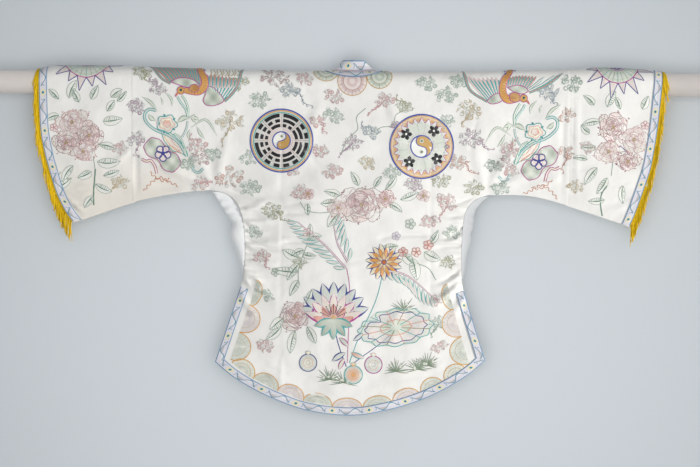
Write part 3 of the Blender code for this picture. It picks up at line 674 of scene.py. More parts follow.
def cuff_x(side, z):
    return smooth(*(column(CUFF_EDGE, CUFF_COLUMNS, name) for name in ("z", WORD[side] + "_x")), z)


def cuff_slope(side, z):
    return (cuff_x(side, z + 2.0) - cuff_x(side, z - 2.0)) / 4


def height_of(v):
    """Height on the cloth's outside for a distance v from the fold."""
    drop = np.abs(v)
    return np.where(drop < QUARTER_ARC, FOLD_RADIUS * np.cos(drop / FOLD_RADIUS), QUARTER_ARC - drop)


def sleeve_end_places(side, shares, rows):
    """Grids of x and v from the seam to the cuff's edge, round both layers."""
    seam = SLEEVE_SEAM[side] + side * SEAM_SHARE
    xs, vs = [], []
    for share in shares:
        bottom = underside_z(side, seam)
        for _ in range(12):
            bottom = underside_z(side, mix(seam, cuff_x(side, bottom), share))
        reach = QUARTER_ARC - bottom
        v = np.linspace(reach, -reach, rows)
        xs.append(mix(seam - side * SEAM_LAP, cuff_x(side, height_of(v)), share))
        vs.append(v)
    order = 1 if side > 0 else -1
    return np.array(xs[::order]).T, np.array(vs[::order]).T


shares = np.concatenate([np.linspace(0, 0.075, 7)[:-1], np.linspace(0.075, 1, 32)])
for side, word in SIDES:
    xs, vs = sleeve_end_places(side, shares, SLEEVE_END_ROWS)
    flat = np.stack([xs, vs], axis=-1).reshape(-1, 2)
    past = (flat[:, 0] - SLEEVE_SEAM[side]) * side
    pucker = PUCKER_HEIGHT * np.exp(-((past - PUCKER_AT) / PUCKER_REACH) ** 2)
    pucker *= np.sin(flat[:, 1] * 2 * math.pi / PUCKER_STEP)
    shape = cloth(flat[:, 0], flat[:, 1], -SEAM_SINK * np.clip(1 - past / 3, 0, 1) + pucker)
    faces = grid_faces(*xs.shape)
    piece = add_mesh(f"sleeve_end_{word}_satin", shape, faces, flat * MM, ivory)
    thicken(piece, BODY_WALL)
    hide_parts(f"sleeve_end_{word}_back", f"sleeve_end_{word}_front")
    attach(piece, "root")


# Side gussets: spindle strips of whiter satin let in between the gathered back seam and the front, from
# the armpit to the top of the slit. They ripple above and pinch in the middle.

WHITE = (0.93, 0.935, 0.92)
WHITE_SHADE = (0.80, 0.81, 0.81)
GUSSET_PINCH_Z = {-1: -309.0, 1: -330.0}
GUSSET_END_Z = {-1: -436.0, 1: -446.0}
GUSSET_ROWS = 86
GUSSET_COLUMNS = 17
# How far the gusset lies behind the side seam, and half the height of the pinch
GUSSET_BEHIND = 0.6
PINCH_SPREAD = 9

white = satin("white_silk_satin", WHITE, WHITE_SHADE)
gussets = {}
for side, word in SIDES:
    heights = np.linspace(ARMPIT_Z[side] - 4, GUSSET_END_Z[side], GUSSET_ROWS)[:, None]
    turn = np.linspace(0, math.pi, GUSSET_COLUMNS)[None, :]
    slope = (side_x(side, heights + 1) - side_x(side, heights - 1)) / 2
    seam = side_x(side, heights) + side * GUSSET_BEHIND * np.sqrt(1 + slope ** 2)
    bulge = along_seam(side, word + "_bulge", heights)
    pinch = np.exp(-((heights - GUSSET_PINCH_Z[side]) / PINCH_SPREAD) ** 2)
    above = np.clip((heights - GUSSET_PINCH_Z[side]) / 20, 0, 1)
    folds = above * np.sin(heights / 2.6 + 2.6 * turn) * np.sin(turn)
    ripple = 0.012 * folds - 0.12 * pinch * np.sin(turn) ** 2
    deep = along_seam(side, "depth", heights)
    xs = seam + side * bulge * np.sin(turn) * (1 + ripple)
    ys = -deep * np.cos(turn) * (1 + ripple * 1.6) - 1.1 * folds * np.sin(turn) * np.clip(deep / 8, 0, 1)
    points = stacked(xs, ys, heights).reshape(-1, 3)
    uv = stacked(turn * bulge * MM, heights * MM).reshape(-1, 2)
    faces = grid_faces(*xs.shape)[:, ::side]
    piece = add_mesh(f"gusset_{word}_satin", points, faces, uv, white)
    thicken(piece, BODY_WALL)
    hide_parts(f"gusset_{word}")
    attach(piece, "root")
    gussets[side] = piece


# Ribbon: woven trimming with blue cord edges, a chain of teal scrolls round white petals, and a cream
# lozenge at each repeat. One length binds slits and hem of the back, one each front, one each cuff.

RIBBON_WIDTH = 17.6
RIBBON_WALL = 0.8
RIBBON_LIFT = 1.1
RIBBON_REPEAT = 0.0814
RIBBON_SWING = 0.0058
RIBBON_GROUND = (0.60, 0.60, 0.66)
RIBBON_GROUND_LIGHT = (0.72, 0.69, 0.72)
RIBBON_EDGE = (0.17, 0.30, 0.46)
RIBBON_SCROLL = (0.13, 0.28, 0.37)
RIBBON_DOT = (0.014, 0.21, 0.32)
RIBBON_PETAL = (0.74, 0.73, 0.74)
RIBBON_LOZENGE = (0.74, 0.68, 0.47)
RIBBON_MARK = (0.36, 0.33, 0.36)
RIBBON_SHADED = (0.42, 0.36, 0.34)
RIBBON_STRETCH = 1.01
# The pattern's measures in metres. Places along the ribbon are counted from the lozenge's middle, and
# reach is how far a line goes from the ribbon's middle
PATTERN_SOFT = 0.0006
STEM_HALF = 0.0011
PETAL_GAP = 0.0008
LOZENGE_LONG = 0.0098
LOZENGE_HIGH = 0.0078
DOT_RADIUS = 0.0026
PETALS_FROM = 0.0150
CURL_AT = 0.0165
CURL_HALF = 0.0009
CURL_REACH = 0.0042
MARK_AT = 0.0200
MARK_HALF = 0.0008
MARK_REACH = 0.0030
EDGE_FROM = 0.0069
RIBBON_WARP = 7000
RIBBON_WEFT = 5200
HEM_POINTS = 130
SLIT_POINTS = 44
CUFF_POINTS = 150
HEM_PATTERN_START = 10.5
CUFF_PATTERN_START = {-1: 11.5, 1: -21.3}


def ribbon_surface():
    surface = Surface("flowered_ribbon", RIBBON_GROUND, 0.5)
    surface.give("Sheen Weight", 0.2)
    along, across = surface.uv()
    place = along.repeat(RIBBON_REPEAT)
    far = place.size()
    off = across.size()
    swing = (place * (4 * math.pi / RIBBON_REPEAT)).wave() * RIBBON_SWING
    stem = (across - swing).size().below(STEM_HALF, PATTERN_SOFT)
    inside = (off - swing.size()).below(-PETAL_GAP, 0.0007) * (across * swing * -1.0).below(0.0, 0.000002)
    past = far.less_from(PETALS_FROM).below(0, 0.001)
    under = inside * across.below(0.0, 0.0008)
    lozenge = (far / LOZENGE_LONG + off / LOZENGE_HIGH).below(1, 0.08)
    dot = (place * place * 0.8 + across * across).use("SQRT").below(DOT_RADIUS, PATTERN_SOFT)
    curl = ((far - CURL_AT) + off * 0.6).size().below(CURL_HALF, PATTERN_SOFT)
    curl = curl * off.below(CURL_REACH, PATTERN_SOFT)
    marks = (far - MARK_AT - off * 0.5).size().below(MARK_HALF, PATTERN_SOFT)
    marks = marks * off.below(MARK_REACH, PATTERN_SOFT)
    colour = surface.mix(surface.noise(260, 2), RIBBON_GROUND, RIBBON_GROUND_LIGHT)
    colour = surface.mix(marks * 0.6, colour, RIBBON_MARK)
    colour = surface.mix(inside * past, colour, RIBBON_PETAL)
    colour = surface.mix(under * past * 0.75, colour, RIBBON_SHADED)
    colour = surface.mix(stem * past, colour, RIBBON_SCROLL)
    colour = surface.mix(curl * 0.8, colour, RIBBON_SCROLL)
    colour = surface.mix(lozenge, colour, RIBBON_LOZENGE)
    colour = surface.mix(dot, colour, RIBBON_DOT)
    edge = off.less_from(EDGE_FROM).below(0, PATTERN_SOFT)
    surface.set("Base Color", surface.mix(edge, colour, RIBBON_EDGE))
    surface.bump((along * RIBBON_WARP).wave() * 0.5 + (across * RIBBON_WEFT).wave() * 0.5, 0.25, 0.0001)
    twist = (along * 3300 + across * 2500).wave()
    surface.bump(twist * edge + (stem + lozenge) * 0.6, 0.5, 0.0003)
    return surface


def run_of(line):
    """How far along the line each of its points lies."""
    return np.concatenate([[0], np.cumsum(np.linalg.norm(np.diff(line, axis=0), axis=1))])


def even(points, count):
    """The same line with evenly spaced points."""
    points = np.asarray(points, float)
    run = run_of(points)
    at = np.linspace(0, run[-1], count)
    return np.stack([np.interp(at, run, points[:, i]) for i in range(points.shape[1])], axis=1)


def sideways(line):
    """At each point of a line, the way to its left."""
    step = np.gradient(line, axis=0)
    return np.stack([-step[:, 1], step[:, 0]], axis=1) / (np.linalg.norm(step, axis=1)[:, None] + 1e-9)


def add_strip(name, outer, inner, lift, across=6, start=0.0):
    """A strip of ribbon between two lines of places on the flat cloth. Start moves its pattern along."""
    shares = np.linspace(0, 1, across)
    flat = mix(outer[:, None, :], inner[:, None, :], shares[None, :, None])
    run = run_of(flat[:, across // 2])[:, None] * RIBBON_STRETCH + start
    uv = stacked(run, (shares - 0.5) * RIBBON_WIDTH)
    points = cloth(flat[..., 0], flat[..., 1], lift).reshape(-1, 3)
    faces = grid_faces(len(outer), across)
    a, b, d = (points[faces[len(faces) // 2, i]] for i in (0, 1, 3))
    outward = np.cross(b - a, d - a)
    centre = points[faces[len(faces) // 2, 0]] * (0, 1, 1)
    if np.dot(outward, centre * (0, 1, 0.2)) < 0:
        faces = faces[:, ::-1]
    piece = add_mesh(name, points, faces, uv.reshape(-1, 2) * MM, ribbon)
    thicken(piece, RIBBON_WALL)
    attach(piece, "root")
    return piece


def inset(line, width, toward):
    """The line moved sideways by width, on the side where toward lies."""
    side = sideways(line)
    if np.dot(side[len(line) // 2], np.asarray(toward) - line[len(line) // 2]) < 0:
        side = -side
    return line + side * width


def crossing(a, b, c, d):
    """Where the line through a and b meets the line through c and d."""
    turn = np.array([[b[0] - a[0], c[0] - d[0]], [b[1] - a[1], c[1] - d[1]]])
    share = np.linalg.solve(turn, np.asarray(c) - a)[0]
    return a + (np.asarray(b) - a) * share


def add_border(name, sides, low, high, layer):
    """Ribbon up the slits and along the hem from low to high, mitred at the corners."""
    centre = ((low + high) / 2, -500.0)
    x = np.linspace(low, high, 120)
    hem = even(np.stack([x, smooth(HEM_X, HEM_Z, x)], axis=1), HEM_POINTS)
    hem_in = inset(hem, RIBBON_WIDTH, centre)
    ends = {-1: (hem[0], hem_in[0]), 1: (hem[-1], hem_in[-1])}
    parts = []
    for side in sides:
        corner = hem[0] if side < 0 else hem[-1]
        slit = even([SLIT_TOP[side], corner], SLIT_POINTS)
        slit_in = inset(slit, RIBBON_WIDTH, centre)
        near = (0, 1) if side < 0 else (-1, -2)
        mitre = crossing(hem_in[near[0]], hem_in[near[1]], slit_in[0], slit_in[-1])
        slit_in = even([slit_in[0], mitre], SLIT_POINTS)
        ends[side] = (corner, mitre)
        parts.append((f"{name}_slit_{WORD[side]}", slit, slit_in))
    keep = (hem_in[:, 0] > ends[-1][1][0]) & (hem_in[:, 0] < ends[1][1][0])
    hem_in = even(np.concatenate([[ends[-1][1]], hem_in[keep], [ends[1][1]]]), HEM_POINTS)
    parts.append((f"{name}_hem", hem, hem_in))
    made = []
    for part, *lines in parts:
        outer, inner = (np.stack([line[:, 0], layer * (QUARTER_ARC - line[:, 1])], axis=1) for line in lines)
        made.append(add_strip(part, outer, inner, RIBBON_LIFT, start=HEM_PATTERN_START))
    return made


ribbon = ribbon_surface()
border_back = add_border("ribbon_back", (-1, 1), HEM_X[0], HEM_X[-1], -1)
border_left = add_border("ribbon_front_left", (-1,), HEM_X[0], -CENTRE_GAP, 1)
border_right = add_border("ribbon_front_right", (1,), CENTRE_GAP, HEM_X[-1], 1)
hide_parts("hem_ribbon_back")
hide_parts("hem_ribbon_front_left")
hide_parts("hem_ribbon_front_right")

for side, word in SIDES:
    reach = QUARTER_ARC - min(column(UNDERSIDE[side], UNDERSIDE_COLUMNS, "z")) - 2
    v = np.linspace(reach, -reach, CUFF_POINTS)
    z = height_of(v)
    x = cuff_x(side, z)
    inner_x = x - side * RIBBON_WIDTH * np.sqrt(1 + cuff_slope(side, z) ** 2)
    limit = QUARTER_ARC - underside_z(side, inner_x)
    outer, inner = np.stack([x, v], axis=1), np.stack([inner_x, np.clip(v, -limit, limit)], axis=1)
    piece = add_strip(f"ribbon_cuff_{word}", outer, inner, RIBBON_LIFT, start=CUFF_PATTERN_START[side])
    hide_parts(f"cuff_ribbon_{word}")


# Neck: the ribbon laid flat round the neckline, a low stand collar of the same ribbon that rises from it
# and leans forward, and a pale pink piping between them.

# Half width, drop at the back, drop at the front
NECK_SIZES = (NECK_HALF_WIDTH, NECK_BACK_DROP, NECK_FRONT_DROP)
BAND_SIZES = (63.0, 30.0, 93.0)
BAND_LIFT = 1.5
# Where the band ends at the front's edges, by the same turn as the collar's
NECK_END_TURN = 1.94
COLLAR_WALL = 0.9
COLLAR_SEAM_INSET = 1.6
PIPING = (0.80, 0.56, 0.60)
PIPING_RADIUS = 0.8
PIPING_POINTS = 160
# Collar by how far round it is: 0 at the middle of the back, 1 at the shoulder, 2 at the front
COLLAR_COLUMNS = ("turn", "lean_in", "lean_forward", "rise")
COLLAR_LEAN = (
    (0.0, 0.0, 2.0, 24.5),
    (0.5, 11.0, 5.0, 24.0),
    (1.0, 21.0, 9.0, 20.0),
    (1.5, 12.0, 16.0, 15.0),
    (2.0, 0.5, 18.0, 14.0),
)


def neck_line(half_width, back_drop, front_drop, count=121):
    """Places round the neck, from the front's left edge over the back to the front's right edge."""
    round_turn = np.linspace(-NECK_END_TURN, NECK_END_TURN, count)
    turn = np.abs(np.abs(round_turn) - 1) * math.pi / 2
    x = np.sign(round_turn + 1e-9) * half_width * np.sin(np.abs(round_turn) * math.pi / 2)
    v = np.where(np.abs(round_turn) <= 1, -back_drop * np.sin(turn), front_drop * np.sin(turn))
    return round_turn, x, v


turns, x, v = neck_line(*NECK_SIZES)
_, wide_x, wide_v = neck_line(*BAND_SIZES)
edges = (np.stack(line, axis=1) for line in ((x, v), (wide_x, wide_v)))
band = add_strip("ribbon_neck", *edges, BAND_LIFT, across=9)
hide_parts("neck_band")

_, x, v = neck_line(*(size - COLLAR_SEAM_INSET for size in NECK_SIZES))
base = cloth(x, v)
knots, *leans = (column(COLLAR_LEAN, COLLAR_COLUMNS, name) for name in COLLAR_COLUMNS)
lean_in, lean_forward, rise = (smooth(knots, lean, np.abs(turns)) for lean in leans)
up = np.stack([-np.sign(turns) * lean_in, lean_forward, rise], axis=1)
shares = np.linspace(0, 1, 9)
points = base[:, None, :] + up[:, None, :] * shares[None, :, None]
points[..., 1] += 1.1 * np.sin(shares * math.pi)[None, :] * np.sin(turns * 3.1)[:, None]
uv = stacked(run_of(base)[:, None], (shares - 0.5) * RIBBON_WIDTH)
collar = add_mesh("stand_collar", points.reshape(-1, 3), grid_faces(len(turns), 9)[:, ::-1],
                  uv.reshape(-1, 2) * MM, ribbon)
thicken(collar, COLLAR_WALL)
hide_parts("collar")
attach(collar, "root")


def add_tubes(name, paths, radii, sides, surface):
    """Round threads along their paths, each with its own radius at each point, in one mesh."""
    points, faces, uv, count = [], [], [], 0
    turn = np.arange(sides) * 2 * math.pi / sides
    for path, radius in zip(paths, radii):
        path = np.asarray(path, float)
        tangent = np.gradient(path, axis=0)
        tangent /= np.linalg.norm(tangent, axis=1)[:, None] + 1e-9
        first = np.cross(tangent, (0.31, 0.9, 0.3))
        first /= np.linalg.norm(first, axis=1)[:, None]
        second = np.cross(tangent, first)
        ring = first[:, None] * np.cos(turn)[None, :, None] + second[:, None] * np.sin(turn)[None, :, None]
        points.append((path[:, None] + ring * np.asarray(radius)[:, None, None]).reshape(-1, 3))
        uv.append(stacked(run_of(path)[:, None], turn / 6.283).reshape(-1, 2))
        n = len(path)
        r, c = np.meshgrid(np.arange(n - 1), np.arange(sides), indexing="ij")
        a = (count + r * sides + c).ravel()
        b = (count + r * sides + (c + 1) % sides).ravel()
        faces += np.stack([a, b, b + sides, a + sides], axis=1).tolist()
        faces.append([count + i for i in reversed(range(sides))])
        faces.append([count + (n - 1) * sides + i for i in range(sides)])
        count += n * sides
    piece = add_mesh(name, np.concatenate(points), faces, np.concatenate(uv) * (MM, 1), surface)
    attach(piece, "root")
    return piece


piping_silk = Surface("pink_piping", PIPING, 0.45)
_, x, v = neck_line(*(size + PIPING_RADIUS / 2 for size in NECK_SIZES), PIPING_POINTS)
piping = add_tubes("neck_piping", [cloth(x, v, BAND_LIFT + 0.5)], [np.full(PIPING_POINTS, PIPING_RADIUS)], 8,
                   piping_silk)


# Fringe: golden yellow silk threads, each twisted, knotted along a narrow heading beside the cuff's edge.
# They hang straight down from the slanted cuff, and a few lie out along the rod's top.

FRINGE_YELLOW = (0.93, 0.63, 0.008)
FRINGE_DEEP = (0.58, 0.35, 0.003)
FRINGE_SEED = 41
STRANDS_PER_LAYER = 125
STRAND_LENGTH = 45.0
HEADING_WIDTH = 3.0
STRAND_SPREAD = math.radians(11)
STRAND_TOP_TURN = math.radians(24)
STRAND_POINTS = 9
ROOT_RADIUS = 1.05
TIP_RADIUS = 0.62
HEADING_RADIUS = 0.9
HEADING_POINTS = 190


def fringe_root(side, along):
    """A point on the cuff's edge, the way out of the cuff there, and the way that a strand falls."""
    drop = abs(along)
    layer = -1 if along <= 0 else 1
    z = float(height_of(along))
    down = np.array([0, 0, -1.0])
    slope = float(cuff_slope(side, z))
    away = np.array([side, 0, -side * slope]) / math.hypot(1, slope)
    spread = max(STRAND_SPREAD - math.atan(abs(slope)), 0)
    if drop < QUARTER_ARC:
        turn = drop / FOLD_RADIUS
        down = np.array([0, layer * math.cos(turn), -math.sin(turn)])
        away = np.array([side, 0, 0.0])
        spread = mix(math.pi / 2 - STRAND_TOP_TURN, STRAND_SPREAD, (drop / QUARTER_ARC) ** 3)
    edge = cloth(float(cuff_x(side, z)), along)
    return edge, away, np.array([side, 0, 0]) * math.sin(spread) + down * math.cos(spread)


gold_silk = Surface("golden_silk_thread", FRINGE_YELLOW, 0.45)
gold_silk.give("Sheen Weight", 0.05)
gold_silk.give("Specular IOR Level", 0.2)
along, around = gold_silk.uv()
twist = (along * 5200 + around * 12.566).wave()
deep = (twist * 0.35 + gold_silk.noise(140, 2)).use("MULTIPLY", 0.8, clamp=True)
gold_silk.set("Base Color", gold_silk.mix(deep, FRINGE_YELLOW, FRINGE_DEEP))
gold_silk.bump(twist, 0.7, 0.0002)
for side, word in SIDES:
    pick = random.Random(FRINGE_SEED + side)
    reach = QUARTER_ARC - min(column(UNDERSIDE[side], UNDERSIDE_COLUMNS, "z")) - 3
    paths, radii = [], []
    for i in range(2 * STRANDS_PER_LAYER):
        along = mix(reach, -reach, (i + 0.5 + pick.uniform(-0.4, 0.4)) / (2 * STRANDS_PER_LAYER))
        edge, away, hang = fringe_root(side, along)
        layer = -1 if along < 0 else 1
        long = STRAND_LENGTH * pick.uniform(0.86, 1.04)
        sway = pick.uniform(-3.5, 3.0)
        shift = pick.uniform(-1.3, 1.3)
        phase = pick.uniform(0, 6.28)
        start = edge + away * 0.4 - (0, layer * 0.7 * min(abs(along) / QUARTER_ARC, 1), 0)
        t = np.linspace(0, 1, STRAND_POINTS)[:, None]
        path = start + away * HEADING_WIDTH * np.minimum(t * 6, 1) + hang * long * t
        if abs(along) < QUARTER_ARC:
            out = HEADING_WIDTH * np.minimum(t * 6, 1) + math.sin(STRAND_SPREAD) * long * t
            round_rod = along + layer * math.cos(STRAND_SPREAD) * long * t[:, 0]
            path = cloth(edge[0] + side * out[:, 0], round_rod, 0.6)
        path += np.array([side, 0, 0]) * (sway * t ** 2 + 0.9 * np.sin(7 * t + phase) * t)
        path += np.array([0, 1.0, 0]) * (shift * t + 0.4 * np.cos(6 * t + phase) * t)
        paths.append(path)
        radii.append(mix(ROOT_RADIUS, TIP_RADIUS, t[:, 0] ** 2) * pick.uniform(0.85, 1.15))
    heads = [fringe_root(side, along) for along in np.linspace(reach, -reach, HEADING_POINTS)]
    for lift in (-0.05, -0.55):
        paths.append([edge + away * 1.3 + (0, lift, 0) for edge, away, _ in heads])
        radii.append(np.full(HEADING_POINTS, HEADING_RADIUS))
    piece = add_tubes(f"fringe_cuff_{word}", paths, radii, 5, gold_silk)
    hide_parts(f"fringe_{word}")


# Border embroidery: half-round scallops in silk along slits and hem, and three whole ones under the
# neck ribbon, each of concentric rows of stitches inside a couched gold cord.

# Where the photograph has the rod's axis, and how far a pixel reaches there
PHOTO_MIDDLE_X = 353.0
PHOTO_AXIS_Y = 83.6
PHOTO_TILT = 0.005
PIXEL = 2.2
# Thread colours, as values on a screen
THREADS = {
    "pale_green": (218, 222, 208), "green": (192, 202, 186), "grey_green": (158, 168, 152),
    "teal": (72, 168, 166), "deep_teal": (34, 128, 132), "pale_pink": (232, 218, 212),
    "pink": (216, 194, 190), "rose": (192, 148, 150),
    "magenta": (178, 70, 146), "rust": (184, 122, 104), "gold": (198, 156, 84), "brown": (150, 108, 70),
    "orange": (226, 152, 70), "copper": (190, 104, 48), "navy": (52, 62, 138), "royal": (66, 84, 170),
    "black": (14, 14, 20), "mauve": (186, 164, 186), "grey_blue": (158, 176, 190), "tan": (200, 178, 146),
    "cream": (236, 230, 206), "silver": (208, 212, 206), "white": (240, 240, 234), "ivory": (228, 226, 216),
    "olive": (168, 164, 118), "salmon": (226, 160, 140), "leaf": (132, 158, 138), "dark_leaf": (92, 128, 108),
    "wine": (150, 92, 96), "dusty_rose": (190, 132, 134), "slate": (122, 138, 152), "moss": (140, 138, 90),
    "sand": (182, 158, 112), "amber": (216, 162, 86), "faded_rose": (186, 146, 138), "plum": (150, 116, 140),
    "bronze": (178, 120, 60),
}


def thread(name):
    """A named thread's colour, as light rather than as a screen value."""
    part = np.array(THREADS[name]) / 255
    return np.where(part <= 0.04045, part / 12.92, ((part + 0.055) / 1.055) ** 2.4)


def spot(px, py):
    """Place on the flat cloth for a pixel of the photograph. Above the fold it runs on down the front."""
    px = np.asarray(px, float)
    x = (px - PHOTO_MIDDLE_X) * PIXEL
    seen = (PHOTO_AXIS_Y + (px - PHOTO_MIDDLE_X) * PHOTO_TILT - np.asarray(py, float)) * PIXEL
    v = np.minimum(seen - QUARTER_ARC, 0)
    for _ in range(8):
        high = seen - fold_rise(x, np.abs(v))
        over = np.arccos(np.clip(high / FOLD_RADIUS, 0, 1)) * FOLD_RADIUS
        v = np.where(high <= 0, high - QUARTER_ARC, np.where(high < FOLD_RADIUS, -over, high - FOLD_RADIUS))
    return np.stack([x, v], axis=-1)


def bend(points, step):
    """A smooth line through some points, with a point about every step."""
    points = np.asarray(points, float)
    if len(points) == 2:
        count = max(int(np.linalg.norm(points[1] - points[0]) / step), 1)
        return mix(points[0], points[1], np.linspace(0, 1, count + 1)[:, None])
    padded = np.concatenate([[2 * points[0] - points[1]], points, [2 * points[-1] - points[-2]]])
    line = []
    for i in range(1, len(padded) - 2):
        a, b, c, d = padded[i - 1:i + 3]
        count = max(int(np.linalg.norm(c - b) / step), 1)
        for t in np.arange(count) / count:
            line.append(0.5 * (2 * b + (c - a) * t + (2 * a - 5 * b + 4 * c - d) * t ** 2
                               + (3 * b - a - 3 * c + d) * t ** 3))
    line.append(padded[-2])
    return np.array(line)


def arching(at, turn, long, sway, t):
    """A line that leaves at by turn degrees and bows aside more and more, by the share sway of its length."""
    angle = math.radians(turn)
    x, y = long * t, sway * long * t * t
    x, y = x * math.cos(angle) - y * math.sin(angle), x * math.sin(angle) + y * math.cos(angle)
    return np.asarray(at) + np.stack([x, y], axis=1)


def toward(angle):
    """A step of 1 in a direction, given in radians."""
    return np.array([math.cos(angle), math.sin(angle)])


class Needlework:
    """Stitched shapes in the cloth's flat plane, sewn on as one mesh. Sizes are in millimetres."""

    def __init__(self):
        self.flat, self.lift, self.colour, self.uv, self.faces = [], [], [], [], []
        self.count = 0

    def add(self, flat, lift, colour, uv, faces):
        self.flat.append(np.asarray(flat, float).reshape(-1, 2))
        self.lift.append(np.broadcast_to(lift, np.shape(flat)[:-1]).ravel())
        self.colour.append(np.broadcast_to(colour, np.shape(flat)[:-1] + (3,)).reshape(-1, 3))
        self.uv.append(np.asarray(uv, float).reshape(-1, 2))
        self.faces += [[self.count + i for i in face] for face in faces]
        self.count += len(self.flat[-1])

    def grid(self, flat, lift, colour, uv):
        self.add(flat, lift, colour, uv, grid_faces(*np.shape(flat)[:2]))

    def band(self, line, widths, colours, lift=0.25, crown=0.35, edge=None, edge_share=0.24):
        """A strip along a line. Widths and colours are set along it, and edge is an outline's thread."""
        line = np.asarray(line, float)
        n = len(line)
        across = np.array([-1, 0, 1.0])
        if edge is not None:
            inner = 1 - edge_share
            across = np.array([-1, -inner, 0.12 - inner, 0, inner - 0.12, inner, 1])
        half = np.broadcast_to(widths, n)[:, None] / 2
        flat = line[:, None, :] + sideways(line)[:, None, :] * (half * across)[..., None]
        tint = np.broadcast_to(colours, (n, 3))[:, None, :] + 0 * across[None, :, None]
        if edge is not None:
            rim = (np.abs(across) > inner - 0.01)[None, :, None]
            tint = np.where(rim, thread(edge), tint)
        uv = stacked(run_of(line)[:, None], half * across)
        self.grid(flat, lift + crown * (1 - across ** 2)[None, :] + 0 * half, tint, uv)

    def cord(self, points, name, width=1.5, lift=0.4, step=2.6, closed=False):
        """A couched cord through some points."""
        points = list(points) + [points[0]] if closed else points
        self.band(bend(points, step), width, thread(name), lift, 0.4)

    def petal(self, at, turn, long, wide, base, tip, edge=None, sway=0.0, lift=0.25, blunt=1.0, steps=7):
        """A petal, leaf or feather from its root. Turn is in degrees, and blunt above 1 rounds the tip."""
        t = np.linspace(0, 1, steps)
        width = wide * np.maximum(np.sin(math.pi * t ** blunt), 0.04) ** 0.75
        colours = mix(thread(base), thread(tip), t[:, None])
        self.band(arching(at, turn, long, sway, t), width, colours, lift, 0.4, edge, 0.3)

    def disc(self, at, inner, outer, name, lift=0.25, start=0.0, end=360.0, rim=None, steps=None,
             rounds=2, crown=0.0):
        """A ring, or a part of one between two angles."""
        steps = steps or max(int(math.radians(end - start) * max(outer / 2.4, 1.6)), 3)
        angle = np.radians(np.linspace(start, end, steps + 1))[:, None]
        radius = np.linspace(inner, outer, rounds + 1)[None, :]
        flat = np.stack([at[0] + radius * np.cos(angle), at[1] + radius * np.sin(angle)], axis=-1)
        share = np.linspace(0, 1, rounds + 1)[None, :] + 0 * angle
        tint = mix(thread(name), thread(rim or name), share[..., None])
        self.grid(flat, lift + crown * np.sin(share * math.pi), tint, stacked(angle * outer, radius))

    def ring(self, at, radius, width, name, lift=0.45):
        self.disc(at, radius - width / 2, radius + width / 2, name, lift, crown=0.35)

    def patch(self, outline, first, second, edge=None, lift=0.25, cell=4.5, width=1.6, seed=0):
        """A shape of any outline, filled with two shades of thread that drift into each other."""
        outline = bend(list(outline) + [outline[0]], 3.0)[:-1]
        low, high = outline.min(axis=0), outline.max(axis=0)
        columns, rows = (np.arange(low[axis], high[axis], cell) for axis in (0, 1))
        inner = [(x, y) for x in columns for y in rows]
        inner = [place for place in inner if inside_of(place, outline)]
        corners = [Vector(p) for p in outline.tolist() + inner]
        n = len(outline)
        edges = [(i, (i + 1) % n) for i in range(n)]
        points, _, faces, *_ = delaunay_2d_cdt(corners, edges, [], 1, 1e-4, False)
        flat = np.array([tuple(p) for p in points])
        drift = 0.5 + 0.5 * np.sin(flat[:, 0] / 5.1 + seed) * np.cos(flat[:, 1] / 6.3 - 1.7 * seed)
        tint = mix(thread(first), thread(second), drift[:, None])
        uv = np.stack([flat[:, 1], flat[:, 0]], axis=1)
        turned = []
        for face in faces:
            a, b, c = (flat[i] for i in face[:3])
            up = (b[0] - a[0]) * (c[1] - a[1]) - (b[1] - a[1]) * (c[0] - a[0]) > 0
            turned.append(list(face) if up else list(face)[::-1])
        self.add(flat, lift, tint, uv, turned)
        if edge:
            self.cord(outline[::2], edge, width, lift + 0.1, closed=True)

    def sew(self, name, surface):
        flat = np.concatenate(self.flat)
        points = cloth(flat[:, 0], flat[:, 1], np.concatenate(self.lift))
        piece = add_mesh(name, points, self.faces, np.concatenate(self.uv) * MM, surface)
        tint = piece.data.color_attributes.new("thread", "FLOAT_COLOR", "POINT")
        colour = np.concatenate([np.concatenate(self.colour), np.ones((self.count, 1))], axis=1)
        tint.data.foreach_set("color", colour.ravel())
        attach(piece, "root")
        return piece


def inside_of(place, outline):
    """Whether a place lies inside a closed outline."""
    x, y = place
    a, b = outline, np.roll(outline, -1, axis=0)
    spans = (a[:, 1] > y) != (b[:, 1] > y)
    with np.errstate(divide="ignore", invalid="ignore"):
        meets = x < (b[:, 0] - a[:, 0]) * (y - a[:, 1]) / (b[:, 1] - a[:, 1]) + a[:, 0]
    return bool(np.sum(spans & meets) % 2)


# Scallops in pixels: px, py, turn, half width, rise, thread. Turn is the way one bulges, in degrees: 0 is
# to the right and 90 is up
SCALLOPS = (
    (254.0, 292.5, -14, 13.2, 8.5, "green"), (245.5, 318.0, -17, 14.2, 15.5, "pink"),
    (236.0, 345.5, -18, 14.2, 16.0, "green"),
    (243.5, 370.5, 53, 13.2, 11.5, "pale_green"), (266.5, 384.0, 62, 13.4, 11.2, "green"),
    (291.5, 395.0, 69, 13.8, 11.2, "pink"), (318.5, 402.5, 80, 14.4, 10.0, "green"),
    (348.0, 406.5, 90, 14.8, 9.4, "pink"), (378.5, 404.8, 99, 14.6, 9.8, "green"),
    (407.0, 398.0, 106, 13.8, 10.4, "pink"), (433.0, 388.0, 114, 12.0, 11.2, "green"),
    (456.0, 375.0, 123, 12.0, 11.4, "pale_green"),
    (450.5, 296.5, 194, 13.2, 8.5, "green"), (457.5, 322.5, 197, 14.2, 15.5, "pink"),
    (465.5, 350.0, 198, 14.0, 15.5, "green"),
)
# Whole scallops at the neck in pixels: px, lowest py, radius, thread
NECK_DISCS = ((325.7, 82.1, 12.7, "green"), (378.6, 89.5, 12.5, "green"), (351.6, 96.4, 14.4, "pink"))


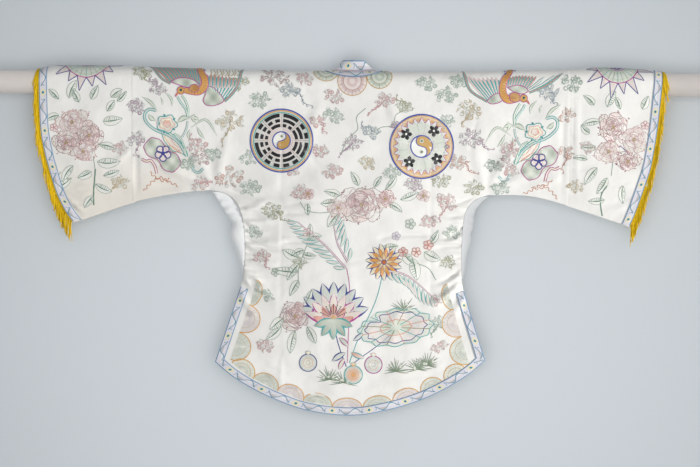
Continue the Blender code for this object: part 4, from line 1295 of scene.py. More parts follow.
def scallop(work, at, turn, half_width, rise, name):
    """A half round of stitches that bulges one way from its chord."""
    out_of, along = toward(math.radians(turn)), toward(math.radians(turn + 90))

    def rim(angle):
        return rise * np.sin(angle) * out_of + half_width * np.cos(angle) * along

    angle = np.radians(np.linspace(0, 180, 19))[::-1, None]
    share = np.linspace(0.05, 1, 7)[None, :]
    stripe = (np.arange(7) % 2)[None, :] + 0 * angle
    pale = "pale_pink" if name == "pink" else "cream" if name == "pale_green" else "pale_green"
    tint = mix(thread(pale), thread(name), stripe[..., None] * (0.65 + 0.35 * np.cos(3 * angle))[..., None])
    tint = mix(tint, thread("ivory"), 0.5)
    flat = at + rim(angle)[:, None, :] * share[..., None]
    work.grid(flat, 0.25 + 0.12 * stripe, tint, stacked(angle * rise, share * rise))
    for k in range(1, 30):
        ray = rim(math.pi * k / 30)
        deep = thread("mauve" if name == "pink" else "grey_green")
        tone = mix(thread("silver"), deep, 0.25 + 0.25 * (k % 3))
        work.band([at + ray * reach for reach in (0.2 + 0.1 * (k % 2), 0.6, 0.96)], 0.6, tone, 0.3, 0.15)
    for reach, cord, width in ((1.0, "amber", 1.9), (0.66, "tan", 0.6)):
        work.band(at + rim(angle[::-1]) * reach, width, thread(cord), 0.4, 0.35)


# Silk thread in close rows, in each stitch's own colour
silk = Surface("silk_stitches", (0.8, 0.8, 0.8), 0.38)
silk.give("Sheen Weight", 0.04)
silk.set("Base Color", silk.attribute("thread"))
along, across = silk.uv()
silk.bump((across * 12000 + (along * 500).wave() * 0.6).wave(), 0.55, 0.00012)

scallops = Needlework()
for px, py, turn, half_width, rise, name in SCALLOPS:
    for layer in (1, -1):
        at = spot(px, py) * (1, layer)
        scallop(scallops, at, layer * turn, half_width * PIXEL, rise * PIXEL, name)
for px, bottom_py, radius, name in NECK_DISCS:
    radius *= PIXEL
    place = spot(px, bottom_py) + (0, radius)
    for k in range(5):
        tone = name if k % 2 else "pale_pink" if name == "pink" else "pale_green"
        scallops.disc(place, radius * k / 5, radius * (k + 1) / 5, tone, 0.2 + 0.08 * (k % 2))
    scallops.ring(place, radius, 1.5, "gold", 0.35)
    scallops.ring(place, radius * 0.62, 0.7, "brown", 0.35)
    for k in range(20):
        ray = toward(math.radians(18 * k)) * radius
        scallops.cord([place + ray * 0.64, place + ray * 0.97], "brown" if k % 2 else name, 0.6, 0.3)
scallops.sew("embroidery_scallops", silk)


# Roundels on the back: an eight-sign roundel in black bars, and a compass roundel with dark blossoms at
# its four points, both with a two-tone whirl in the middle and couched blue and gold rims.

# Roundels in pixels: px, py, radius
SIGN_ROUNDEL = (281.5, 141.2, 31.4)
COMPASS_ROUNDEL = (420.8, 147.0, 31.8)
# Each sign's bars from the middle outwards, clockwise from the top. 1 is a whole bar and 0 a parted one
EIGHT_SIGNS = ((0, 1, 1), (1, 1, 0), (1, 1, 1), (1, 1, 0), (1, 0, 0), (0, 0, 1), (0, 0, 0), (1, 0, 1))
BAR_RINGS = ((0.43, 0.53), (0.585, 0.685), (0.74, 0.855))
# Bars by the degrees they span
WHOLE_BAR = ((-18.0, 18.0),)
PARTED_BAR = ((-18.0, -4.5), (4.5, 18.0))
# Discs by shares of the radius: inner, outer, thread, thread at the rim, lift
SIGN_DISCS = (
    (0, 0.30, "cream", "cream", 0.2), (0.30, 0.88, "pale_pink", "silver", 0.2),
    (0.88, 0.93, "cream", "silver", 0.3), (0.93, 0.985, "gold", "cream", 0.35),
)
# Rings: share of the radius, width, thread
SIGN_RINGS = ((0.36, 0.9, "pale_pink"), (0.885, 2.0, "teal"), (0.94, 2.2, "amber"), (0.99, 3.2, "royal"))
COMPASS_RINGS = ((0.955, 1.8, "amber"), (0.995, 3.2, "royal"), (0.40, 1.2, "pale_pink"))
COMPASS_TEETH = 24


def whirl(work, at, radius, dark, pale, rim, head, lift=0.3):
    """A round split into two by an S curve, with an eye in each half. Head is 1 with the pale one on top."""
    work.disc(at, 0, radius, pale, lift)
    rows = np.linspace(-radius, radius, 25)
    half = radius / 2
    curve = head * np.where(rows > 0, np.sqrt(np.clip(half ** 2 - (rows - half) ** 2, 0, None)),
                            -np.sqrt(np.clip(half ** 2 - (rows + half) ** 2, 0, None)))
    outer = np.sqrt(np.clip(radius ** 2 - rows ** 2, 0, None))
    x = mix(curve[:, None], outer[:, None], np.linspace(0, 1, 5)[None, :])
    across = stacked(x, rows[:, None])[::-1]
    work.grid(at + across, lift + 0.35, thread(dark), across)
    for way in (-1, 1):
        work.disc((at[0], at[1] + way * half), 0, radius * 0.19, "pale_green", lift + 0.5)
        work.disc((at[0], at[1] + way * half), 0, radius * 0.12, "brown", lift + 0.6, rim="dark_leaf")
    work.band(np.stack([at[0] + curve, at[1] + rows], axis=1), 1.7, thread(rim), lift + 0.45)
    work.ring(at, radius, 2.4, rim, lift + 0.45)


def knot_blossom(work, at, radius, fill, edge, petals=5, lift=0.4, turn=0.0):
    """A small blossom of round petals, each in a couched outline, round one knot."""
    for k in range(petals):
        place = at + radius * 0.58 * toward(2 * math.pi * k / petals + math.radians(turn + 90))
        work.disc(place, 0, radius * 0.40, fill, lift, crown=0.1)
        work.ring(place, radius * 0.40, max(radius * 0.13, 0.8), edge, lift + 0.1)
    work.disc(at, 0, radius * 0.2, edge, lift + 0.3)


roundels = Needlework()
px, py, radius = SIGN_ROUNDEL
radius *= PIXEL
at = spot(px, py)
for inner, outer, name, rim, lift in SIGN_DISCS:
    roundels.disc(at, inner * radius, outer * radius, name, lift, rim=rim, rounds=4)
for k, bars in enumerate(EIGHT_SIGNS):
    middle = 67.5 - 45 * k
    for solid, (inner, outer) in zip(bars, BAR_RINGS):
        for start, end in WHOLE_BAR if solid else PARTED_BAR:
            span = (middle + start, middle + end)
            roundels.disc(at, inner * radius, outer * radius, "black", 0.45, *span, crown=0.3)
    ray = toward(math.radians(middle + 22.5)) * radius
    roundels.cord([at + ray * 0.40, at + ray * 0.88], "faded_rose", 0.8, 0.35)
for share, width, name in SIGN_RINGS:
    roundels.ring(at, share * radius, width, name, 0.42)
whirl(roundels, at, radius * 0.28, "gold", "white", "royal", 1)

px, py, radius = COMPASS_ROUNDEL
radius *= PIXEL
at = spot(px, py)
roundels.disc(at, 0, 0.86 * radius, "silver", 0.2, rim="pale_green", rounds=6)
roundels.disc(at, 0.80 * radius, 0.985 * radius, "amber", 0.3, rim="cream", rounds=4)
for k in range(16):
    ray = toward(math.radians(22.5 * k + 11)) * radius
    roundels.cord([at + ray * 0.36, at + ray * 0.80], "white" if k % 2 else "green", 1.0, 0.3)
zigzag = []
for k in range(2 * COMPASS_TEETH + 1):
    a = math.pi * k / COMPASS_TEETH
    ray = toward(a) * radius
    zigzag.append(at + ray * (0.74 if k % 2 else 0.90))
    if k % 2 == 0:
        roundels.petal(at + ray * 0.70, math.degrees(a), radius * 0.20, radius * 0.14, "silver", "white",
                       lift=0.34, blunt=0.6, steps=5)
for first, second in zip(zigzag, zigzag[1:]):
    roundels.cord([first, second], "magenta", 1.2, 0.42)
for share, width, name in COMPASS_RINGS:
    roundels.ring(at, share * radius, width, name, 0.45)
whirl(roundels, at, radius * 0.34, "gold", "white", "royal", -1)
for k in range(4):
    turn = 90 * k + 52
    place = at + toward(math.radians(turn)) * radius * 0.62
    for j in range(5):
        roundels.petal(place, 72 * j + turn, radius * 0.19, radius * 0.13, "black", "black", lift=0.5,
                       blunt=1.4)
    roundels.disc(place, 0, radius * 0.035, "white", 1.1)
roundels.sew("embroidery_roundels", silk)


# Suns over the shoulders: a silvery green disc that lies across the fold, ringed by sixteen pink rays with
# navy cords.

# Suns: px of the middle, and in millimetres how far it lies beyond the fold, its radius and the reach of
# its long and short rays
SUNS = ((87.3, 9.0, 50.0, 79.0, 70.0), (615.4, -2.0, 46.0, 80.0, 69.0))
SUN_RAYS = 16

suns = Needlework()
for px, beyond, inner, long_ray, short_ray in SUNS:
    at = np.array([(px - PHOTO_MIDDLE_X) * PIXEL, beyond])
    for k in range(6):
        suns.disc(at, inner * k / 6, inner * (k + 1) / 6, "green" if k % 2 else "silver", 0.25, steps=72,
                  rim="pale_green")
    for k in range(24):
        ray = toward(math.radians(15 * k)) * inner
        suns.cord([at + ray * 0.42, at + ray * 0.97], "grey_green" if k % 3 else "teal", 0.8, 0.35)
    suns.ring(at, inner * 0.40, 1.6, "magenta", 0.4)
    knot_blossom(suns, at, inner * 0.32, "mauve", "navy", 6, 0.45)
    half = inner * math.tan(math.pi / SUN_RAYS) * 0.98
    for k in range(SUN_RAYS):
        a = 2 * math.pi * (k + 0.5) / SUN_RAYS
        root, end = at + toward(a) * inner, at + toward(a) * (long_ray if k % 2 else short_ray)
        aside = toward(a + math.pi / 2) * half
        line = bend([root, end], 3.0)
        suns.band(line, np.linspace(1, 0.05, len(line)) * 2 * half, mix(thread("pink"), thread("ivory"), 0.5))
        suns.cord([root + aside, end], "navy", 1.7, 0.4)
        suns.cord([end, root - aside], "navy", 1.7, 0.4)
    suns.ring(at, inner * 1.01, 1.9, "magenta", 0.45)
suns.sew("embroidery_suns", silk)


# Birds and treasures on the upper sleeves: on each side a golden bird that flies down over the shoulder
# with a streamer in its beak, a horn with a blossom, and a waisted fan with a tassel. The treasures and
# streamers on the right are the left ones turned over, and each bird has its own pose.

# What turns a pixel of the left side over to the right side
MIRROR_X = 701.2
MIRROR_Y = 8.0

# Quills: pixels along one, its width in millimetres at shares of its length, thread, lift, outline's share
LEFT_QUILLS = (
    (((224.8, 102), (233.6, 93), (239, 83), (242.6, 69)), ((0, 6.6), (1, 6.6)), "faded_rose", 0.6, 0.42),
    (((171, 84.5), (161, 78), (148, 66)), ((0, 5.72), (1, 5.72)), "faded_rose", 0.6, 0.42),
)
RIGHT_SHORT_QUILLS = (
    (((526, 91), (534, 85), (542.5, 78.2)), ((0, 4.0), (0.7, 6.0), (1, 1.5)), "pale_pink", 0.4, 0.4),
    (((527, 92), (541, 85), (553, 76.5)), ((0, 4.0), (0.7, 6.0), (1, 1.5)), "pale_pink", 0.4, 0.4),
)
RIGHT_LONG_QUILLS = (
    (((461.2, 71.5), (468, 90), (485.5, 102.5)), ((0, 1.0), (0.2, 6.5), (1, 5.5)), "faded_rose", 0.55, 0.42),
    (((561.5, 74), (545, 86), (527.5, 93.5)), ((0, 1.0), (0.2, 6.5), (1, 5.5)), "faded_rose", 0.55, 0.42),
)
# Wings: pixels along the roots, pixels along the tips, feathers, thread at root and tip, lift, quills
LEFT_WINGS = (
    (((171, 84), (176, 79.6), (185, 79.2), (193, 81), (201, 88)),
     ((149, 67), (158, 60), (170, 56), (186, 58), (198, 62)), 25, "faded_rose", "faded_rose", 0.3, ()),
    (((213, 91), (217, 93.5), (221.5, 97.5), (224.5, 101.5)),
     ((208, 85), (217, 87), (227, 87), (236.5, 86)), 15, "white", "pale_pink", 0.3, ()),
    (((207.5, 87), (216, 89), (226, 88.5), (236, 87.5)),
     ((207.5, 76), (217, 76.5), (227, 78.2), (237.5, 80)), 17, "pink", "faded_rose", 0.42, LEFT_QUILLS),
)
RIGHT_WINGS = (
    (((503, 89), (510, 86), (518, 86.5), (525.5, 90.5)),
     ((502.5, 81), (510, 78), (520, 76.8), (534, 78)), 21, "pink", "faded_rose", 0.3, RIGHT_SHORT_QUILLS),
    (((485.5, 102), (489, 99), (493, 95.5), (499, 93)),
     ((464, 77), (473, 79.5), (483, 79.5), (491, 79), (499, 80)), 17, "pale_pink", "pink", 0.3,
     RIGHT_LONG_QUILLS),
)
# The birds' other parts in pixels. Only the left one has wisps of down, which start at these px
LEFT_BIRD = {
    "wisps": range(210, 240, 3),
    "shoulders": (
        ((171, 83), (178, 79.4), (188, 79.2), (197, 83), (202, 90), (193, 89), (184, 87.5)),
        ((206, 87), (213, 88.2), (219, 93.5), (224, 101.5), (216, 106), (207, 106), (203.5, 101), (206, 95)),
    ),
    "spine": ((178, 92.5), (184, 91.4), (192, 92.2), (199, 92), (204.5, 87.5), (204.8, 80), (201.5, 73.5),
              (198, 66), (196, 56)),
    "head": (181.4, 91.4),
    "beak": ((178.6, 93.4), (175.4, 98)),
    "breast": ((189, 90.5), (192, 86), (197, 85.6), (199.5, 90), (195, 93.4)),
    "dots": ((204.5, 71), (203, 67), (200.5, 62)),
}
RIGHT_BIRD = {
    "wisps": (),
    "shoulders": (
        ((505.5, 88.4), (515, 86.2), (523, 88.2), (526.4, 92), (520.4, 94.8), (512.4, 93)),
        ((485.4, 102), (491.4, 96), (497.5, 94.2), (501.5, 99.5), (497.5, 103.4), (489.6, 104.9)),
    ),
    "spine": ((523, 99.5), (518, 99.3), (512, 100.6), (506.5, 100.6), (501.8, 96), (500.8, 88), (503.2, 80),
              (507.5, 74), (510.5, 66)),
    "head": (522, 99.2),
    "beak": ((525, 100.8), (528, 105.6)),
    "breast": ((514, 93.2), (508.5, 95), (508, 100.5), (512, 103), (517.5, 101.8), (518, 96)),
    "dots": ((503.4, 72), (503.8, 75), (513.5, 71.5)),
}
# The streamer from the beak: pixels, width in pixels, thread, lift
BEAK_STREAMERS = (
    (((177.8, 97.5), (181, 103), (186, 110), (188, 117)), 2.2, "pale_green", 0.35),
    (((182.5, 96.5), (186.5, 103), (188.6, 110), (188, 117)), 2.2, "cream", 0.5),
    (((188, 121.5), (187, 128), (184, 135), (182, 137.5)), 2.0, "pale_pink", 0.35),
)
SPINE_WIDTHS = ((0, 2.0), (0.08, 5.0), (0.3, 8.2), (0.5, 7.4), (0.7, 6.4), (1, 6.8))
HEAD_RADIUS = 3.7

# The treasures, in pixels of the left side
HORN_ROPE = ((156.5, 111.2), (150, 110), (145.6, 114), (145.6, 120), (150, 126), (157, 131), (166, 134.5),
             (174, 139), (181, 146), (186.5, 156))
HORN = ((161.5, 131.5), (164.1, 140.3), (166.7, 144), (173.8, 151.3), (180, 152.7), (187.7, 156.4),
        (185.2, 148.3), (178.2, 139.5), (170, 133))
HORN_RIDGE = ((174, 134), (180, 137.5), (184, 146), (187, 157))
HORN_LINES = (
    ((164, 136), (171, 146), (181, 154)), ((167, 146), (173, 147), (183, 154.5)),
    ((170, 137), (175, 145), (180, 148)), ((175, 153), (179, 151), (181, 150)),
)
HORN_BLOSSOM = (167.5, 124.5)
FAN_MIDDLE = (162.6, 155.2)
FAN_END = (175.5, 166.5)
FAN_LOBE = 9.9
FAN_LOBES_APART = 10.2
FAN_WAIST = 6.6
FAN_BLOSSOM = (163.3, 153.6)
FAN_HANDLE = ((142.5, 159.5), (147, 161.6), (151, 160.6), (155, 166), (157, 174))
CRESCENT = ((192, 167), (194.6, 171.4), (199, 172.6), (203.4, 168.6))
TASSEL = (
    ((144, 191), (148, 186), (154, 180.5), (161, 177.5), (169, 182), (178, 186)),
    ((150, 172), (155, 177), (163, 181), (170, 179)),
)
# Blades of grass: root, middle, tip, width
BLADES = (
    ((158, 112), (151, 103), (142.5, 97.5), 3.4), ((172.5, 107), (172, 100), (166, 93.5), 2.8),
    ((163, 106), (163, 102), (161, 98), 2.0), ((190, 119), (184, 118.5), (177.5, 123), 5.2),
    ((189, 117.5), (195, 118.2), (199.5, 121), 3.8), ((196, 124), (193, 118.5), (195, 114.5), 3.4),
    ((191.5, 128), (206, 120.5), (217.5, 136), 2.6), ((197, 127), (200.5, 134), (205, 139.5), 3.2),
    ((190, 130), (188.5, 135), (189.5, 140), 3.0), ((149, 115), (152, 119), (156, 121), 4.6),
)


def drawn(points, flip=False):
    """Places for some pixels, which flip turns over from the left side to the right side."""
    points = np.asarray(points, float)
    if flip:
        points = points * (-1, 1) + (MIRROR_X, MIRROR_Y)
    return spot(points[..., 0], points[..., 1])


def feathers(work, roots, tips, count, root_thread, tip_thread, lift):
    """A row of feathers between a line of roots and a line of tips, and a narrow teal one between each two."""
    roots, tips = even(bend(drawn(roots), 2.0), count), even(bend(drawn(tips), 2.0), count)
    gaps = np.linalg.norm(np.gradient(tips, axis=0), axis=1)
    t = np.linspace(0, 1, 9)
    tint = mix(thread(root_thread), thread(tip_thread), np.clip(t * 1.6, 0, 1)[:, None])
    for i, (root, tip) in enumerate(zip(roots, tips)):
        narrow = i % 2
        line = mix(root, tip, (0.9 if narrow else 1.04) * t[:, None])
        width = gaps[i] * (0.8 if narrow else 1.5) * (0.55 + 0.45 * t)
        width *= np.sqrt(np.clip((1.01 - t) * 5, 0, 1))
        work.band(line, width, thread("teal") if narrow else tint, lift + 0.12 * narrow, 0.35)


def streamer(work, points, width, fill, edge, flip, lift=0.35):
    work.band(bend(drawn(points, flip), 2.6), width * PIXEL, thread(fill), lift, 0.3, edge, 0.42)


def bird(work, parts, wings):
    """A bird from above: wings, wisps, shoulders, a spine with its bars, head, beak and breast."""
    for *wing, quills in wings:
        feathers(work, *wing)
        for points, widths, fill, lift, edge_share in quills:
            line = bend(drawn(points), 2.6)
            width = np.interp(np.linspace(0, 1, len(line)), *np.transpose(widths))
            work.band(line, width, thread(fill), lift, 0.3, "teal", edge_share)
    for px in parts["wisps"]:
        points = ((px, 77), (px + 2 + px % 2, 74), (px + 0.5, 71), (px + 2, 68.5))
        streamer(work, points, 0.8, "sand", "olive", False, 0.25)
    for seed, outline in enumerate(parts["shoulders"], 1):
        work.patch(drawn(outline), "pale_green", "grey_green", "magenta", 0.6, 4.0, 1.6, seed)
    spine = bend(drawn(parts["spine"]), 2.6)
    t = np.linspace(0, 1, len(spine))
    wide = np.interp(t, *np.transpose(SPINE_WIDTHS)) * PIXEL
    tint = mix(thread("amber"), thread("bronze"), np.clip(t * 1.5 - 0.6, 0, 1)[:, None])
    work.band(spine, wide, tint, 0.7, 0.6, "magenta", 0.12)
    for k in range(5, len(spine) - 3, 2):
        along = spine[k + 1] - spine[k]
        across = np.array([-along[1], along[0]]) / np.linalg.norm(along) * wide[k] * 0.34
        work.cord([spine[k] - across, spine[k] + across * 0.2], "brown" if k % 4 else "cream", 0.9, 1.15)
    head = drawn(parts["head"])
    work.disc(head, 0, HEAD_RADIUS * PIXEL, "amber", 0.8, rim="gold", crown=0.5)
    work.ring(head, HEAD_RADIUS * PIXEL, 1.3, "magenta", 0.95)
    work.disc(head + (0, 1.0), 0, 3.0, "deep_teal", 1.3)
    work.disc(head + (0, 1.0), 0, 1.9, "black", 1.5)
    beak, tip = drawn(parts["beak"])
    angle = math.degrees(math.atan2(*(tip - beak)[::-1]))
    work.petal(beak, angle, 11.5, 4.6, "orange", "magenta", lift=0.9, blunt=0.7)
    work.patch(drawn(parts["breast"]), "bronze", "gold", "magenta", 1.25, 3.5, 1.3)
    for dot in drawn(parts["dots"]):
        work.disc(dot, 0, 2.4, "navy", 1.0)


def horn(work, flip):
    """A curled horn with a rope, and a five-lobed blossom at its mouth."""
    streamer(work, HORN_ROPE, 3.0, "silver", "teal", flip)
    work.patch(drawn(HORN, flip), "cream", "pale_pink", "teal", 0.3, 4.0, 1.7, 0.6)
    streamer(work, HORN_RIDGE, 1.9, "cream", "teal", flip, 0.4)
    for line in HORN_LINES:
        work.cord(drawn(line, flip), "salmon", 1.1, 0.5)
    centre = drawn(HORN_BLOSSOM, flip)
    for share, fill, edge, width in ((1.0, "pale_pink", "teal", 1.9), (0.72, "cream", "salmon", 1.0),
                                     (0.4, "salmon", "salmon", 1.0)):
        outline = []
        for k in range(44):
            a = 2 * math.pi * k / 44
            reach = (8.2 + 1.2 * math.cos(5 * a + 0.6 / share) + 0.4 * math.sin(11 * a)) * share * PIXEL
            outline.append(centre + toward(a) * (1.15, 1) * reach)
        work.patch(outline, fill, "ivory", edge, 1.0 - 0.4 * share, 3.6, width, 3.0)
    for k in range(5):
        a = 0.6 + 2 * math.pi * k / 5
        work.petal(centre + toward(a) * 15, math.degrees(a), 7, 4.2, "teal", "deep_teal", lift=0.8)


def fan(work, flip):
    """A fan of two round lobes with a waist between them, a blossom on it and a handle."""
    middle, end = drawn((FAN_MIDDLE, FAN_END), flip)
    axis = math.atan2(*(end - middle)[::-1])
    apart, lobe = FAN_LOBES_APART * PIXEL, FAN_LOBE * PIXEL
    outline = []
    for k in range(40):
        a = 2 * math.pi * k / 40
        inside = lobe ** 2 - (apart * math.sin(a)) ** 2
        reach = apart * abs(math.cos(a)) + math.sqrt(inside) if inside > 0 else 0
        reach = max(reach, FAN_WAIST * PIXEL / max(abs(math.sin(a)), 0.3))
        outline.append(middle + min(reach, apart + lobe) * toward(a + axis))
    work.patch(outline, "pale_green", "grey_green", "magenta", 0.3, 4.2, 1.7, 4.0)
    knot_blossom(work, drawn(FAN_BLOSSOM, flip), 8.2 * PIXEL, "pale_pink", "navy", 5, 0.55, 36)
    streamer(work, FAN_HANDLE, 2.9, "cream", "magenta", flip)


def treasures(work, flip):
    for points, width, fill, lift in BEAK_STREAMERS:
        streamer(work, points, width, fill, "teal", flip, lift)
    horn(work, flip)
    fan(work, flip)
    streamer(work, CRESCENT, 2.6, "silver", "teal", flip)
    for *points, wide in BLADES:
        line = bend(drawn(points, flip), 2.4)
        width = wide * PIXEL * np.maximum(np.sin(math.pi * np.linspace(0, 1, len(line))), 0.2)
        work.band(line, width, thread("pale_green"), 0.22, 0.3, "leaf", 0.3)
    for line in TASSEL:
        path = bend(drawn(line, flip), 2.0)
        ripple = np.sin(np.arange(len(path)) * 1.15)[:, None] * 2.6
        work.band(path + sideways(path) * ripple, 1.3, thread("copper"), 0.3)


birds = Needlework()
for flip, parts, wings in ((False, LEFT_BIRD, LEFT_WINGS), (True, RIGHT_BIRD, RIGHT_WINGS)):
    bird(birds, parts, wings)
    treasures(birds, flip)
birds.sew("embroidery_birds_and_treasures", silk)


# Scattered embroidery: curled clouds, peonies, leafy sprays, vines and tufts in quiet silks all over the
# satin, and the same on the fronts.

# Clouds: px, py, size in pixels, thread, px and py of the tail's end, or 0 for no tail
CLOUDS = (
    (274, 77, 24, "wine", 0, 0), (289, 91, 15, "slate", 313, 107), (259, 101, 17, "leaf", 0, 0),
    (333, 116, 16, "leaf", 0, 0), (249, 158, 15, "leaf", 0, 0), (445, 96, 17, "leaf", 0, 0),
    (392, 172, 14, "leaf", 0, 0), (333, 97, 15, "dusty_rose", 0, 0), (384, 101, 15, "dusty_rose", 367, 116),
    (332, 172, 15, "dusty_rose", 0, 0), (320, 151, 13, "dusty_rose", 0, 0), (352, 143, 15, "plum", 340, 156),
    (470, 139, 20, "plum", 492, 150), (413, 184, 14, "plum", 0, 0), (367, 163, 13, "sand", 0, 0),
    (440, 181, 15, "moss", 0, 0), (473, 188, 15, "moss", 0, 0), (272, 211, 17, "moss", 288, 221),
    (142, 72, 16, "moss", 149, 82), (230, 122, 22, "sand", 223, 146), (468, 111, 19, "sand", 461, 128),
    (230, 177, 23, "rust", 0, 0), (457, 162, 16, "rust", 477, 174), (157, 88, 15, "plum", 151, 78),
    (137, 107, 14, "plum", 0, 0), (137, 139, 14, "plum", 139, 157), (565, 116, 13, "rust", 0, 0),
    (565, 152, 13, "rust", 563, 172), (250, 188, 17, "leaf", 0, 0), (425, 84, 15, "leaf", 0, 0),
    (457, 82, 14, "leaf", 0, 0), (445, 123, 14, "leaf", 0, 0), (569, 84, 17, "dark_leaf", 0, 0),
    (547, 93, 16, "slate", 556, 104), (446, 202, 17, "dusty_rose", 440, 221),
    (197, 146, 15, "dusty_rose", 191, 135), (201, 158, 14, "wine", 0, 0), (213, 154, 13, "leaf", 0, 0),
    (188, 163, 13, "leaf", 0, 0),
    (508, 150, 15, "dusty_rose", 515, 140), (506, 163, 15, "wine", 0, 0), (511, 172, 11, "dusty_rose", 0, 0),
    (200, 184, 14, "dusty_rose", 213, 181), (500, 188, 14, "leaf", 0, 0), (493, 166, 13, "dark_leaf", 0, 0),
    (304, 79, 14, "dusty_rose", 0, 0), (318, 122, 12, "dusty_rose", 327, 133), (240, 84, 14, "moss", 229, 76),
    (292, 170, 12, "dusty_rose", 0, 0), (371, 133, 13, "slate", 361, 123),
    (404, 108, 12, "moss", 396, 96), (398, 127, 12, "plum", 0, 0), (300, 192, 14, "dusty_rose", 0, 0),
    (428, 221, 13, "dusty_rose", 0, 0), (255, 232, 12, "leaf", 0, 0), (452, 232, 13, "leaf", 0, 0),
    (262, 256, 13, "dusty_rose", 270, 268), (448, 262, 12, "moss", 0, 0), (300, 262, 11, "moss", 0, 0),
    (266, 345, 13, "dusty_rose", 0, 0), (438, 322, 13, "leaf", 432, 336), (434, 300, 11, "dusty_rose", 0, 0),
    (268, 295, 11, "leaf", 0, 0), (440, 346, 12, "dusty_rose", 0, 0), (120, 148, 12, "dusty_rose", 0, 0),
    (121, 182, 13, "sand", 112, 190), (586, 148, 12, "dusty_rose", 0, 0), (575, 186, 13, "sand", 0, 0),
)
# Peonies: px, py, width and height in pixels, light thread, dark thread, rings of petals
PEONIES = (
    (361, 205, 50, 38, "pale_pink", "rose", 4), (338, 208, 20, 17, "pale_pink", "pink", 3),
    (385, 199, 19, 17, "pale_pink", "rose", 3), (296, 316, 30, 29, "pink", "rose", 4),
    (73, 123, 34, 27, "pale_pink", "pink", 4), (90, 136, 28, 27, "pale_pink", "rose", 3),
    (67, 143, 27, 22, "pale_pink", "rose", 3), (84, 152, 25, 20, "pale_pink", "pink", 3),
    (611, 128, 32, 27, "pale_pink", "rose", 4), (632, 140, 26, 26, "pale_pink", "pink", 3),
    (607, 152, 27, 22, "pale_pink", "pink", 3), (626, 162, 25, 20, "pale_pink", "rose", 3),
    (308, 194, 12, 11, "pale_pink", "rose", 2), (423, 196, 13, 12, "pale_pink", "pink", 2),
)
# Leaves: px, py of the root, turn in degrees, length in pixels, thread
LEAVES = (
    (340, 196, 150, 17, "green"), (336, 202, 192, 16, "grey_green"), (338, 214, 214, 19, "green"),
    (385, 190, 28, 17, "green"), (388, 204, -12, 16, "grey_green"), (400, 200, 12, 19, "green"),
    (358, 186, 98, 13, "green"), (374, 188, 66, 14, "grey_green"), (308, 204, 250, 12, "green"),
    (284, 318, 205, 18, "green"), (282, 326, 230, 20, "grey_green"), (296, 330, 258, 20, "green"),
    (308, 326, 300, 16, "grey_green"), (306, 302, 60, 13, "green"),
    (308, 241, 70, 15, "green"), (307, 238, 15, 14, "grey_green"), (304, 250, 200, 15, "green"),
    (300, 258, 160, 18, "grey_green"), (300, 263, 215, 18, "green"), (298, 272, 190, 24, "grey_green"),
    (299, 280, 240, 15, "green"), (303, 254, -20, 14, "green"),
    (404, 254, -50, 17, "green"), (412, 258, -65, 22, "grey_green"), (424, 252, -40, 20, "green"),
    (398, 246, 190, 15, "grey_green"), (430, 243, 30, 13, "green"),
    (60, 100, 118, 14, "green"), (70, 99, 78, 15, "grey_green"), (92, 100, 62, 15, "green"),
    (112, 98, 40, 15, "grey_green"), (60, 116, 170, 12, "green"), (104, 122, 12, 20, "green"),
    (100, 145, -8, 17, "grey_green"), (98, 162, -25, 19, "green"), (92, 172, 205, 16, "grey_green"),
    (74, 166, 215, 17, "green"), (72, 178, 232, 17, "grey_green"), (96, 184, -40, 16, "green"),
    (94, 196, 220, 14, "green"), (80, 103, 100, 12, "green"), (108, 112, 60, 13, "grey_green"),
    (118, 102, 20, 12, "green"), (104, 176, 10, 14, "green"),
    (592, 106, 120, 14, "green"), (605, 108, 82, 15, "grey_green"), (640, 110, 58, 13, "green"),
    (598, 122, 168, 15, "green"), (594, 148, 190, 14, "grey_green"), (596, 168, 210, 17, "green"),
    (606, 178, 240, 16, "grey_green"), (622, 186, 260, 17, "green"), (640, 176, 300, 14, "green"),
    (604, 200, 200, 14, "grey_green"), (586, 160, 150, 13, "green"),
    (618, 110, 96, 13, "green"), (588, 134, 160, 13, "grey_green"),
)
# Stems: thread, width in millimetres, pixels along the stem
STEMS = (
    ("dark_leaf", 3.0, ((96, 169), (95, 180), (94, 192), (94, 205))),
    ("navy", 1.5, ((604, 140), (612, 150), (619, 147), (628, 156))),
    ("dark_leaf", 2.8, ((606, 186), (601, 194), (600, 204), (602, 216))),
    ("leaf", 1.6, ((308, 243), (303, 256), (299, 270), (299, 284))),
    ("leaf", 1.6, ((82, 110), (84, 128), (92, 146), (96, 171))),
    ("leaf", 1.6, ((618, 116), (614, 136), (612, 158), (610, 176))),
    ("leaf", 1.6, ((404, 254), (414, 262), (428, 268), (436, 280))),
    ("leaf", 1.3, ((365, 109), (356, 118), (357, 130), (347, 140), (340, 156))),
    ("leaf", 1.3, ((404, 111), (395, 116), (392, 126), (381, 128), (372, 133))),
    ("leaf", 1.3, ((300, 202), (306, 210), (318, 213), (332, 212))),
    ("leaf", 1.3, ((62, 172), (54, 182), (56, 194), (66, 202))),
)
# Small flowers: px, py, radius in pixels, thread, thread of the edge
SMALL_FLOWERS = (
    (410, 224, 5.4, "silver", "grey_green"), (403, 252, 5.0, "pink", "rust"),
    (416, 252, 5.0, "pale_pink", "rust"), (428, 245, 5.2, "pink", "rust"), (308, 233, 5.0, "pale_pink", "rose"),
    (396, 236, 4.4, "silver", "mauve"), (55, 128, 4.2, "pale_pink", "rose"),
    (643, 126, 4.4, "pale_pink", "rose"), (276, 272, 4.4, "silver", "grey_green"),
)
# Tufts of grass: px, py, pairs of blades
TUFTS = ((330, 379, 9), (396, 371, 9), (427, 365, 10), (418, 369, 8), (344, 382, 6), (404, 310, 7))

# Seeds of the random draws
SEED_BACK = 3
SEED_FRONTS = 7
